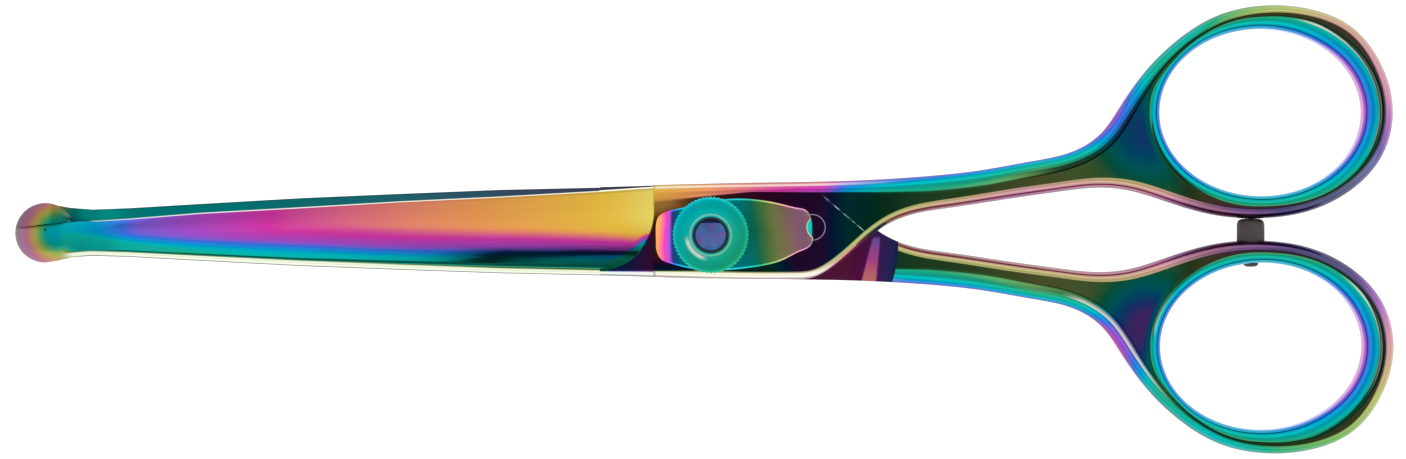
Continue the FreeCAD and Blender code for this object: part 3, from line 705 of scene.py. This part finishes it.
class Surface:
    """Node tree of one material with the fields most formulas need."""

    def __init__(self, name):
        self.material = bpy.data.materials.new(name)
        self.material.use_nodes = True
        self.tree = self.material.node_tree
        self.tree.nodes.clear()
        self.out = self.tree.nodes.new("ShaderNodeOutputMaterial")
        self.shader = self.tree.nodes.new("ShaderNodeBsdfPrincipled")
        self.tree.links.new(self.shader.outputs[0], self.out.inputs[0])
        self.coordinates = self.tree.nodes.new("ShaderNodeTexCoord")
        split = self.tree.nodes.new("ShaderNodeSeparateXYZ")
        self.tree.links.new(self.coordinates.outputs["Object"], split.inputs[0])
        self.x = Field(self.tree, split.outputs[0]) * 1000.0
        self.y = Field(self.tree, split.outputs[1]) * 1000.0
        self.z = Field(self.tree, split.outputs[2]) * 1000.0
        facing = self.tree.nodes.new("ShaderNodeSeparateXYZ")
        self.tree.links.new(self.coordinates.outputs["Normal"], facing.inputs[0])
        self.nx = Field(self.tree, facing.outputs[0])
        self.ny = Field(self.tree, facing.outputs[1])
        self.nz = Field(self.tree, facing.outputs[2])

    def noise(self, scale, detail=3.0, stretch=(1.0, 1.0, 1.0), roughness=0.5):
        mapping = self.tree.nodes.new("ShaderNodeMapping")
        mapping.inputs["Scale"].default_value = stretch
        self.tree.links.new(self.coordinates.outputs["Object"], mapping.inputs["Vector"])
        node = self.tree.nodes.new("ShaderNodeTexNoise")
        node.inputs["Scale"].default_value = scale
        node.inputs["Detail"].default_value = detail
        node.inputs["Roughness"].default_value = roughness
        self.tree.links.new(mapping.outputs[0], node.inputs["Vector"])
        return Field(self.tree, node.outputs["Fac"])

    def ramp(self, field, stops, span):
        """Colour by (place, colour) stops, with places from 0 to span."""
        node = self.tree.nodes.new("ShaderNodeValToRGB")
        elements = node.color_ramp.elements
        while len(elements) > 1:
            elements.remove(elements[-1])
        for index, (place, rgb) in enumerate(stops):
            element = elements[0] if index == 0 else elements.new(place / span)
            element.position = place / span
            element.color = (*rgb, 1.0)
        self.tree.links.new((field * (1.0 / span)).socket, node.inputs[0])
        return node.outputs[0]

    def blend(self, amount, under, over):
        """Over laid on under; over is a colour socket or one colour."""
        node = self.tree.nodes.new("ShaderNodeMix")
        node.data_type = "RGBA"
        self.tree.links.new(amount.socket, node.inputs[0])
        self.tree.links.new(under, node.inputs[6])
        if isinstance(over, tuple):
            node.inputs[7].default_value = over
        else:
            self.tree.links.new(over, node.inputs[7])
        return node.outputs[2]

    def colour(self, field, stops, span=1.0, pale=None, shade=None, layers=()):
        """Colour by a ramp; each layer is (field, stops, span, share) of another laid over it. Pale lays on
        the pale tint for painted highlights and pale marks; shade lays on painted shade.
        """
        socket = self.ramp(field, stops, span)
        for over_field, over_stops, over_span, share in layers:
            socket = self.blend(share, socket, self.ramp(over_field, over_stops, over_span))
        for amount, tint in ((pale, PALE_TINT), (shade, PAINTED_SHADE_TINT)):
            if amount is not None:
                socket = self.blend(amount, socket, tint)
        self.tree.links.new(socket, self.shader.inputs["Base Color"])

    def finish(self, roughness, bump=None, strength=0.1, distance=0.00002):
        if isinstance(roughness, Field):
            self.tree.links.new(roughness.socket, self.shader.inputs["Roughness"])
        else:
            self.shader.inputs["Roughness"].default_value = roughness
        if bump is not None:
            node = self.tree.nodes.new("ShaderNodeBump")
            node.inputs["Strength"].default_value = strength
            node.inputs["Distance"].default_value = distance
            self.tree.links.new(bump.socket, node.inputs["Height"])
            self.tree.links.new(node.outputs[0], self.shader.inputs["Normal"])
        return self.material


# Colours of the interference coating in the order in which they follow each other.
FILM = [
    (0.00, (0.62, 0.52, 0.11)), (0.07, (0.62, 0.39, 0.04)), (0.15, (0.64, 0.25, 0.07)),
    (0.23, (0.60, 0.14, 0.15)), (0.31, (0.52, 0.03, 0.30)), (0.39, (0.27, 0.06, 0.46)),
    (0.47, (0.03, 0.12, 0.58)), (0.54, (0.00, 0.25, 0.52)), (0.61, (0.00, 0.38, 0.38)),
    (0.69, (0.01, 0.33, 0.17)), (0.76, (0.14, 0.37, 0.10)), (0.83, (0.38, 0.42, 0.13)),
    (0.90, (0.48, 0.32, 0.20)), (0.97, (0.52, 0.24, 0.34)), (1.04, (0.33, 0.14, 0.40)),
    (1.11, (0.13, 0.10, 0.30)), (1.18, (0.16, 0.22, 0.36)),
]
SPAN = 1.25
# The same coating over the round tip, from its middle to its rim.
TIP_FILM = [
    (0.00, (0.00, 0.30, 0.44)), (0.90, (0.00, 0.36, 0.40)), (1.60, (0.00, 0.36, 0.27)),
    (2.20, (0.10, 0.37, 0.13)),
    (2.60, (0.30, 0.38, 0.08)), (3.00, (0.42, 0.34, 0.08)), (3.40, (0.46, 0.24, 0.12)),
    (3.90, (0.42, 0.15, 0.20)),
    (4.50, (0.33, 0.14, 0.27)), (5.20, (0.24, 0.16, 0.20)), (6.00, (0.20, 0.20, 0.14)),
]
# The comb's strip beside the cutting edge, from the tip to the block.
STRIP_FILM = [
    (0.00, (0.00, 0.33, 0.29)), (0.30, (0.00, 0.30, 0.31)), (0.55, (0.02, 0.22, 0.27)),
    (0.70, (0.05, 0.16, 0.24)),
    (0.85, (0.08, 0.11, 0.21)), (1.00, (0.08, 0.06, 0.12)),
]


# Lines on the blade's face as (slope, height at x = 0).
EDGE_LINE = (0.058, 6.21)
SPINE_LINE = (-0.0414, -6.25)
RIDGE_LINE = (-0.0525, -3.85)
HEEL_CENTRE = (-14.3, 2.6)
HEEL_SQUARES = (49.4, 56.6)
WEB_CENTRE = (55.8, 12.6)
TIP_PIT = (-85.76, 0.42)
TIP_SEAM_LINE = (0.112, 10.67)
WIDTH_SCALE = 5.0
# Place in the order of colours, by x or, where said, by another measure.
BLADE_ALONG = [
    (-86.0, 0.62), (-80.0, 0.55), (-74.0, 0.43), (-66.0, 0.37), (-55.0, 0.30), (-46.0, 0.24),
    (-38.0, 0.19), (-28.0, 0.14), (-18.0, 0.09), (-11.5, 0.055), (-8.0, 0.015),
]
COMB_ALONG = [(-84.0, 0.62), (-60.0, 0.575), (-40.0, 0.53), (-20.0, 0.48), (-8.0, 0.44)]
# By the share of the way from the ridge to the spine.
BELOW_RIDGE = [
    (-1.0, 0.28), (-0.36, 0.31), (0.06, 0.39), (0.24, 0.47), (0.42, 0.54), (0.55, 0.60), (0.85, 0.66),
    (1.4, 0.69),
]
FLAT_ALONG = [
    (-14.0, 0.10), (-7.0, 0.12), (0.0, 0.20), (8.0, 0.33), (14.5, 0.41), (17.5, 0.60), (22.0, 0.71),
    (32.0, 0.76), (42.0, 0.82), (50.0, 0.76), (60.0, 0.70),
]
# By how far the surface has turned away from the flat.
TURN_SHIFT = [(0.0, 0.0), (0.3, 0.07), (0.6, 0.15), (0.85, 0.27), (1.0, 0.38)]
TANG_ALONG = [(0.0, 0.27), (17.5, 0.29), (19.5, 0.32), (21.5, 0.39), (23.0, 0.44)]
# By the angle round the ring, in degrees from the far end.
UPPER_CREST = [
    (-180.0, 0.88), (-150.0, 0.92), (-130.0, 0.98), (-110.0, 1.04), (-90.0, 1.10), (-70.0, 1.16),
    (-45.0, 1.18), (-25.0, 1.17), (-6.0, 1.08), (8.0, 1.01), (25.0, 0.98), (50.0, 0.94), (70.0, 0.88),
    (90.0, 0.84), (105.0, 0.80), (120.0, 0.74), (140.0, 0.66), (160.0, 0.62), (180.0, 0.60),
]
LOWER_CREST = [
    (-180.0, 0.86), (-150.0, 0.90), (-130.0, 0.97), (-110.0, 1.03), (-90.0, 1.08), (-70.0, 1.14),
    (-45.0, 1.17), (-20.0, 1.08), (0.0, 0.97), (10.0, 0.92), (25.0, 0.86), (40.0, 0.82), (60.0, 0.78),
    (80.0, 0.74), (95.0, 0.70), (110.0, 0.66), (130.0, 0.62), (180.0, 0.57),
]
HOLE_EDGE = [
    (-180.0, 0.42), (-150.0, 0.42), (-120.0, 0.52), (-90.0, 0.56), (-60.0, 0.54), (-30.0, 0.42), (0.0, 0.34),
    (30.0, 0.36), (60.0, 0.46), (90.0, 0.53), (120.0, 0.54), (150.0, 0.47), (180.0, 0.42),
]
# By how far the surface faces into the hole.
INTO_HOLE = [(-1.0, 1.0), (-0.85, 0.86), (-0.65, 0.68), (-0.4, 0.52), (-0.2, 0.30), (0.0, 0.0)]


class HalfSurface(Surface):
    """Surface of one half, with places measured from its own mirror line."""

    def __init__(self, name, lower):
        super().__init__(name)
        self.lower = lower
        if lower:
            self.y = 2 * AXIS_Y - self.y
            self.ny = self.ny * -1.0
        self.h = self.y - AXIS_Y
        self.from_pivot = distance(self.x, self.h)
        self.rx, self.ry = self.x - RING_CENTRE[0], self.h - RING_CENTRE[1]
        reach = distance(self.rx, self.ry)
        self.out = self.nx * (self.rx / reach) + self.ny * (self.ry / reach)
        self.around = degrees(self.ry, self.rx)
        self.on_blade = self.x.step(-7.2, -7.5)
        self.on_neck = self.x.step(-82.0, -84.0)
        heel_x, heel_h = self.x - HEEL_CENTRE[0], self.h - HEEL_CENTRE[1]
        self.heel = (heel_x * heel_x / HEEL_SQUARES[0] + heel_h * heel_h / HEEL_SQUARES[1]).math("SQRT")
        self.heel_flat = self.heel.step(1.0, 1.03) * self.x.step(-14.0, -12.5) * self.h.step(2.0, 0.5)


def blade_film(s):
    """By length on the face, then onwards towards the spine, with a step at the ridge."""
    x, h = s.x, s.h
    if s.lower:
        return table(x, COMB_ALONG)
    edge, spine, ridge = [x * slope + height for slope, height in (EDGE_LINE, SPINE_LINE, RIDGE_LINE)]
    across = (edge - h) / (edge - spine)
    below = (ridge - h) / (ridge - spine)
    upper = table(x, BLADE_ALONG) + across.step(0.30, 0.80, 0.0, 0.09)
    wrap = s.heel.step(0.82, 1.0, 0.0, 1.2) * x.step(-14.3, -11.5) * h.step(0.5, -2.0)
    shifted = below + x.step(-45.0, -13.0, 0.0, 0.35) + wrap
    lower = table(shifted, BELOW_RIDGE).math("MAXIMUM", upper + below.step(0.0, 1.0, 0.0, 0.26))
    lower = lower.math("MINIMUM", x.step(-60.0, -80.0, 0.70, 0.63))
    film = mix(upper, lower, shifted.step(-0.95, -0.30))
    film = mix(film, 0.80, s.ny.step(-0.20, -0.45))
    return mix(film, x.step(-10.5, -7.5, 0.46, 0.36), s.heel_flat)


def handle_film(s):
    """Pivot block and shank, then the ring, where the film grows outside and thins into the hole."""
    x, h, ny = s.x, s.h, s.ny
    flat = table(x, FLAT_ALONG) + h.step(-2.5, -5.2, 0.0, 0.38) * x.step(12.0, 7.0)
    web = distance(x - WEB_CENTRE[0], h - WEB_CENTRE[1])
    flat = flat - web.step(9.0, 1.0, 0.0, 0.33 if s.lower else 0.24)
    shift = table(distance(s.nx, ny), TURN_SHIFT)
    shank_out = flat - shift * x.step(0.0, 30.0, 0.15, 1.0) * x.step(46.0, 59.0, 1.0, 0.25)
    under = table(x, [(-14.0, 0.80), (10.0, 0.88), (24.0, 0.84), (40.0, 0.84 if s.lower else 0.93),
                      (54.0, 0.86), (66.0, 0.98)])
    shank_in = mix(flat, under, ny.step(-0.08, -0.25)) + ny.step(-0.3, -1.0, 0.0, 0.10)
    shank = mix(shank_in, shank_out, ny.step(-0.05, 0.05))
    ring_out = table(s.around, LOWER_CREST if s.lower else UPPER_CREST) - s.out.step(0.0, 1.0, 0.0, 0.05)
    into_hole = mix(0.80, table(s.around, HOLE_EDGE), table(s.out, INTO_HOLE))
    to_hole = s.out.step(0.04, -0.06)
    part_x, part_y = s.rx / RING_AXES[0], s.ry / RING_AXES[1]
    near_hole = (part_x * part_x + part_y * part_y).step(1.42, 1.30) * to_hole
    return mix(mix(shank, into_hole, near_hole), mix(ring_out, into_hole, to_hole), s.rx.step(-12.0, -4.0))


def ring_glint(s):
    """Painted highlight line where the ring turns into its hole, and one on the lower shank."""
    line = s.out.step(-0.185, -0.205) * s.out.step(-0.285, -0.26) * s.rx.step(2.0, 5.0)
    if not s.lower:
        return line * s.around.step(-25.0, 0.0) * s.around.step(75.0, 55.0) * 0.9
    shank = s.nz.step(0.895, 0.915) * s.nz.step(0.965, 0.95) * s.ny.step(0.05, 0.1)
    shank = shank * s.x.step(45.0, 48.0) * s.x.step(60.0, 55.0) * 0.9
    return line * s.around.step(-45.0, -25.0) * s.around.step(28.0, 10.0) + shank


def seam_mark(s):
    """Thin uneven line along the weld seam."""
    run, rise = SEAM_B[0] - SEAM_A[0], SEAM_B[1] - SEAM_A[1]
    size = math.hypot(run, rise)
    off = (s.x - SEAM_A[0]) * (-rise / size) + (s.y - SEAM_A[1]) * (run / size)
    line = off.math("ABSOLUTE").step(0.10, 0.03) * s.x.step(14.2, 14.4) * s.x.step(20.2, 19.9)
    return line * s.noise(900.0, 4.0).step(0.35, 0.65, 0.15, 0.8) * s.z.step(5.30, 5.38)


def painted_highlights(s):
    """Painted washed-out highlights on the spine bevel, the block's rims, the cutting edge and the ring."""
    x, ny = s.x, s.ny
    on_block = x.step(-7.2, -7.0)
    # Each term is a painted highlight, laid on as the pale tint.
    bevel = s.on_blade * (1.0 - s.on_neck) * ny.step(-0.42, -0.62) * 0.85
    rim_low = on_block * x.step(17.0, 13.0) * ny.step(-0.42, -0.58) * ny.step(-0.95, -0.88) * 0.8
    rim_top = on_block * x.step(26.0, 14.0) * ny.step(0.62, 0.70) * ny.step(0.88, 0.80) * 0.5
    land = s.on_blade * x.step(-83.0, -79.0) * s.z.step(2.87, 2.84) * (0.0 if s.lower else 0.95)
    return bevel + rim_low + rim_top + land + ring_glint(s)


def painted_shade(s):
    """Painted shade: dark outlines where the surface turns away, dark lines along the ring and the blade, a
    dark line on the tip's seam and a dark dot in its pit.
    """
    x, h, ny, nz = s.x, s.h, s.ny, s.nz
    # Painted shade: a dark outline where the surface turns away from straight up.
    turned = nz.step(0.58, 0.20, 0.0, 0.82) * nz.step(-0.80, -0.30) * x.step(-86.0, -80.0)
    turned = turned * (1.0 - s.rx.step(-15.0, -13.0) * s.out.step(0.0, -0.3))
    # Painted shade on the flat behind the blade's heel.
    heel = s.heel_flat * s.on_blade * h.step(-5.15, -4.9) * (0.0 if s.lower else 0.45)
    # Painted shade on the ring's flat crest.
    crest = nz.step(0.975, 0.992) * s.rx.step(-13.0, -9.0) * 0.62
    # Painted shade: a dark line where the rounded band meets the flat of the shank.
    band_edge_shade = nz.step(0.915, 0.945) * nz.step(0.9999, 0.9985) * ny.step(0.02, 0.06)
    band_edge_shade = band_edge_shade * x.step(36.0, 46.0) * x.step(66.0, 60.0) * (0.5 if s.lower else 0.9)
    # Painted shade on the lower part of the ring's outer band.
    underside = s.around.step(-15.0, -50.0) * s.around.step(-160.0, -115.0)
    underside = underside * s.out.step(0.0, 0.1) * s.rx.step(-14.0, -9.0) * 0.5
    # Painted shade: a dark line along the blade's spine edge.
    half_width = table(x, [(row[0], row[1] / WIDTH_SCALE) for row in STATIONS[1:]]) * WIDTH_SCALE
    outline = (h + half_width).step(0.20, 0.06) * s.on_blade * x.step(-84.0, -76.0)
    outline = outline * (0.5 if s.lower else 0.6)
    # Painted shade: a dark line at the foot of the spine bevel.
    foot = s.on_blade * (1.0 - s.on_neck) * ny.step(-0.30, -0.40) * ny.step(-0.55, -0.42) * 0.8
    # Painted shade: a dark line where the two halves meet on the tip.
    tip_seam_shade = (h - (x * TIP_SEAM_LINE[0] + TIP_SEAM_LINE[1])).math("ABSOLUTE").step(0.11, 0.04)
    tip_seam_shade = tip_seam_shade * x.step(-78.0, -82.0) * 0.85
    # Painted shade: a dark dot standing for the pit on the tip.
    pit_shade = distance(x - TIP_PIT[0], h - TIP_PIT[1]).step(0.17, 0.10)
    return turned + heel + crest + band_edge_shade + underside + outline + foot + tip_seam_shade + pit_shade


def steel(name, lower):
    """Mirror-polished steel under the interference coating, on one half of the shears."""
    s = HalfSurface(name, lower)
    x, h, ny = s.x, s.h, s.ny
    s.shader.inputs["Metallic"].default_value = 1.0
    handle = handle_film(s)
    if lower:
        low_tang = s.z.step(2.76, 2.70) * s.from_pivot.step(24.4, 24.2)
        # Painted highlight: a lighter stripe across the lower tang, in its own film colours, a little pale
        # and rougher.
        tang_highlight_gap = (x - 21.45 + (h - 1.1) * 0.18).math("ABSOLUTE") - h * 0.085
        tang_highlight = tang_highlight_gap.step(0.55, 0.20)
        tang = mix(table(x, TANG_ALONG), h.step(1.0, 6.0, 0.42, 0.22, "LINEAR"), tang_highlight)
        handle = mix(handle, tang, low_tang)
        on_tang = low_tang * x.step(10.0, 11.0)
        tang_highlight = tang_highlight * on_tang * h.step(0.6, 1.4)
    film = mix(blade_film(s), handle, x.step(-7.4, -7.2)) + (s.noise(28.0, 2.0) - 0.5) * 0.05

    seam = seam_mark(s)
    mouth_gap = (distance(x - TAB_HOLE[0], s.y - TAB_HOLE[1]) - 1.64).math("ABSOLUTE")
    mouth = mouth_gap.step(0.07, 0.02) * s.z.step(5.30, 5.38) * (0.0 if lower else 0.5)
    # Pale tint: painted highlights, plus the weld seam's pale line and a pale ring round the tab hole.
    pale = painted_highlights(s) + seam + mouth
    if lower:
        pale = pale + tang_highlight * 0.06
    upward = s.nz.step(0.03, 0.14)
    pale = pale.math("MINIMUM", 1.0) * upward
    # Painted shade, laid on as the dark tint.
    shade = painted_shade(s).math("MINIMUM", 1.0) * upward

    from_neck = ((x + 84.2) * (x + 84.2) + h * h * 0.9).math("SQRT")
    layers = [(from_neck, TIP_FILM, 6.5, x.step(-82.4, -84.8))]
    if lower:
        strip = x.step(-84.0, -8.0, 0.0, 1.0, "LINEAR")
        layers.insert(0, (strip, STRIP_FILM, 1.0, s.on_blade * s.z.step(2.60, 2.64)))
    s.colour(film, FILM, SPAN, pale, shade, layers)

    rough = s.noise(60.0, 3.0).step(0.3, 0.7, 0.05, 0.10) + x.step(-75.0, -80.5) * 0.40
    rough = rough + seam * 0.6 + mouth * 0.9
    if lower:
        rough = rough + s.on_blade * 0.30 + x.step(-85.5, -84.5) * x.step(-81.0, -82.5) * 0.25
        rough = rough + on_tang * 0.08 + tang_highlight * 0.45
    else:
        smear = s.noise(260.0, 3.0, (0.35, 1.4, 1.0)).step(0.52, 0.72) * s.nz.step(0.99, 0.999)
        rough = rough + smear * x.step(6.0, 16.0) * x.step(30.0, 24.0) * 0.16
        rough = rough + x.step(-0.5, -6.0) * x.step(-7.6, -7.2) * h.step(0.5, 3.5) * 0.30
        lower_facet = ny.step(0.06, -0.02) * ny.step(-0.20, -0.12)
        rough = rough + s.on_blade * x.step(-50.0, -30.0) * lower_facet * 0.14
    scratches = s.noise(900.0, 2.0, (0.12, 1.0, 1.0))
    swell = s.noise(70.0, 1.0) * 12.0
    return s.finish(rough, scratches + swell, 0.6, 0.00001)


upper_steel = steel("rainbow_steel_upper", False)
lower_steel = steel("rainbow_steel_lower", True)


def paint(obj, material):
    """Gives a piece one material."""
    obj.data.materials.clear()
    obj.data.materials.append(material)


def paint_node(node, material):
    """Gives a CAD node one material."""
    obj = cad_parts[node]
    if not obj.material_slots:
        obj.data.materials.append(material)
    for place in obj.material_slots:
        place.material = material


paint(blade, upper_steel)
paint(front_handle, upper_steel)
paint(rear_handle, lower_steel)
paint_node("comb_blade", lower_steel)


def simple(name, stops, field, metallic, roughness, bump, strength=0.2, depth=0.00003, pale=None):
    """Material of a small piece; field, roughness, bump and pale are functions of its surface."""
    s = Surface(name)
    s.shader.inputs["Metallic"].default_value = metallic
    s.colour(field(s), stops, SPAN if len(stops) == len(FILM) else 1.0, pale(s) if pale else None)
    return s.finish(roughness(s) if callable(roughness) else roughness, bump(s), strength, depth)


SPRING_FILM = [(-7.10, 0.13), (-6.50, 0.24), (-5.90, 0.33), (-5.30, 0.42), (-4.80, 0.50), (-4.20, 0.57),
               (4.20, 0.61), (5.90, 0.69), (7.30, 0.77), (8.60, 0.84), (9.80, 0.91), (10.90, 0.97),
               (12.20, 0.99), (13.30, 0.92)]
STUD_RAYS = [(-180.0, 0.44), (-150.0, 0.41), (-130.0, 0.48), (-95.0, 0.44), (-80.0, 0.50), (-50.0, 0.43),
             (-20.0, 0.47), (5.0, 0.42), (30.0, 0.49), (60.0, 0.44), (80.0, 0.41), (110.0, 0.46),
             (140.0, 0.50), (165.0, 0.43), (180.0, 0.44)]


def spring_film(s):
    """Film along the spring, with the folded tab in one colour."""
    tab = s.nx.step(0.35, 0.55) * s.x.step(12.2, 12.4)
    lean = s.y.step(-4.5, 4.5, -0.9, 1.0, "LINEAR") * s.x.step(3.0, 6.0)
    return mix(table(s.x + lean + (s.noise(120.0, 2.0) - 0.5) * 2.4, SPRING_FILM), 0.64, tab)


def stud_film(s):
    """Rays from the middle of the turned face."""
    return table(degrees(s.y, s.x), STUD_RAYS) + s.noise(900.0, 2.0).step(0.3, 0.7, 0.0, 0.04)


def nut_film(s):
    """Green to blue across the nut, a little uneven."""
    slant = (s.y - s.x * 0.6).step(-5.0, 5.0, 0.69, 0.60, "LINEAR")
    return slant + (s.noise(60.0, 2.0) - 0.5) * 0.14


def nut_glint(s):
    """Light on the lip round the bore, on its lower left."""
    reach = distance(s.x, s.y)
    lip = reach.step(2.52, 2.60) * reach.step(2.82, 2.72) * 0.25
    angle = degrees(s.y * -1.0, s.x * -1.0)
    patch = reach.step(2.75, 2.95) * reach.step(3.45, 3.15) * angle.step(0.0, 20.0) * angle.step(85.0, 60.0)
    return lip + patch * 0.75


def brushed(s):
    """Fine marks running round the turned face."""
    return (distance(s.x, s.y) * 60.0).math("SINE") + s.noise(2500.0) * 2.0


def lightened(stops, gain, lift):
    """The same stops in lighter colours, painted brighter."""
    return [(place, tuple(min(1.0, c * gain + lift) for c in rgb)) for place, rgb in stops]


# Spring, nut and screw get lighter copies of the coating colours: painted light that makes these pieces
# brighter.
spring_steel = simple("spring_film", lightened(FILM, 1.55, 0.0), spring_film, 1.0,
                      lambda s: s.noise(80.0).step(0.3, 0.7, 0.16, 0.24),
                      lambda s: s.noise(700.0), 0.05, 0.000004)
nut_steel = simple("nut_film", lightened(FILM, 1.30, 0.0), nut_film, 1.0,
                   lambda s: s.noise(200.0).step(0.3, 0.7, 0.42, 0.52), brushed, 0.1, 0.000003, nut_glint)
screw_steel = simple("screw_film", lightened(FILM, 0.9, 0.10), stud_film, 1.0,
                     lambda s: s.noise(300.0).step(0.3, 0.7, 0.34, 0.46),
                     lambda s: s.noise(2500.0), 0.2, 0.00001)
NYLON = [(0.0, (0.72, 0.70, 0.64)), (1.0, (0.84, 0.82, 0.76))]
BLACK = [(0.0, (0.012, 0.012, 0.012)), (1.0, (0.03, 0.03, 0.03))]
DARK = [(0.0, (0.030, 0.024, 0.022)), (1.0, (0.065, 0.052, 0.048))]
bush_nylon = simple("bush_nylon", NYLON, lambda s: s.noise(300.0), 0.0, 0.5, lambda s: s.noise(2000.0))
# The lock ring is near black; this also paints the shade in the narrow gap round the stud.
ring_nylon = simple("lock_nylon", BLACK, lambda s: s.noise(300.0), 0.0, 0.5, lambda s: s.noise(2000.0))
rubber = simple("stop_rubber", DARK, lambda s: s.noise(500.0, 5.0), 0.0,
                lambda s: s.noise(400.0).step(0.3, 0.7, 0.55, 0.75),
                lambda s: s.noise(2600.0, 4.0), 0.5, 0.00004)
paint(spring, spring_steel)
paint(nut, nut_steel)
paint_node("pivot_screw", screw_steel)
paint_node("pivot_bush", bush_nylon)
paint_node("nut_lock_ring", ring_nylon)
paint(bumper, rubber)

# ---------------------------------------------------------------- floor, light, camera
FLOOR_HALF = 1.5    # metres
floor_corners = [(a * FLOOR_HALF, b * FLOOR_HALF, 0) for a, b in ((-1, -1), (1, -1), (1, 1), (-1, 1))]
floor_mesh = bpy.data.meshes.new("floor")
floor_mesh.from_pydata(floor_corners, [], [[0, 1, 2, 3]])
floor = bpy.data.objects.new("floor", floor_mesh)
floor.location.z = -0.00005
bpy.context.scene.collection.objects.link(floor)
ground = bpy.data.materials.new("pale_floor")
ground.use_nodes = True
for label, value in (("Base Color", (0.35, 0.35, 0.35, 1)), ("Roughness", 0.9), ("Specular IOR Level", 0.0),
                     ("Emission Color", (1, 1, 1, 1)), ("Emission Strength", 1.0)):
    ground.node_tree.nodes["Principled BSDF"].inputs[label].default_value = value
floor_mesh.materials.append(ground)

world = bpy.data.worlds.new("studio")
bpy.context.scene.world = world
world.use_nodes = True
tree = world.node_tree
tree.nodes.clear()
sky_out = tree.nodes.new("ShaderNodeOutputWorld")
sky = tree.nodes.new("ShaderNodeBackground")
tree.links.new(sky.outputs[0], sky_out.inputs[0])
where = tree.nodes.new("ShaderNodeTexCoord")
parts = tree.nodes.new("ShaderNodeSeparateXYZ")
tree.links.new(where.outputs["Generated"], parts.inputs[0])
up = Field(tree, parts.outputs[2])
from_zenith = up.math("ARCCOSINE") * (180.0 / math.pi)
# Brightness of the studio by the angle from straight overhead.
brightness = table(from_zenith, [(0.0, 0.045), (3.0, 0.055), (6.5, 0.26), (13.0, 0.36), (15.0, 0.05),
                                 (17.5, 0.05), (22.0, 1.05), (30.0, 1.60), (42.0, 1.15), (54.0, 1.20),
                                 (62.0, 1.90), (70.0, 1.80), (80.0, 1.35), (100.0, 1.30), (180.0, 1.30)])
tree.links.new(brightness.socket, sky.inputs["Strength"])

scene = bpy.context.scene
scene.view_settings.view_transform = "Standard"
scene.view_settings.look = "None"
camera_data = bpy.data.cameras.new("camera")
camera_data.lens = 85.0
camera_data.sensor_width = 36.0
camera = bpy.data.objects.new("camera", camera_data)
view_width = 0.1820
height = view_width * camera_data.lens / camera_data.sensor_width
camera.location = (-0.00098, 0.00072, height + MIDDLE * MM)
camera.rotation_euler = (0.0, 0.0, math.radians(-0.16))
scene.collection.objects.link(camera)
scene.camera = camera
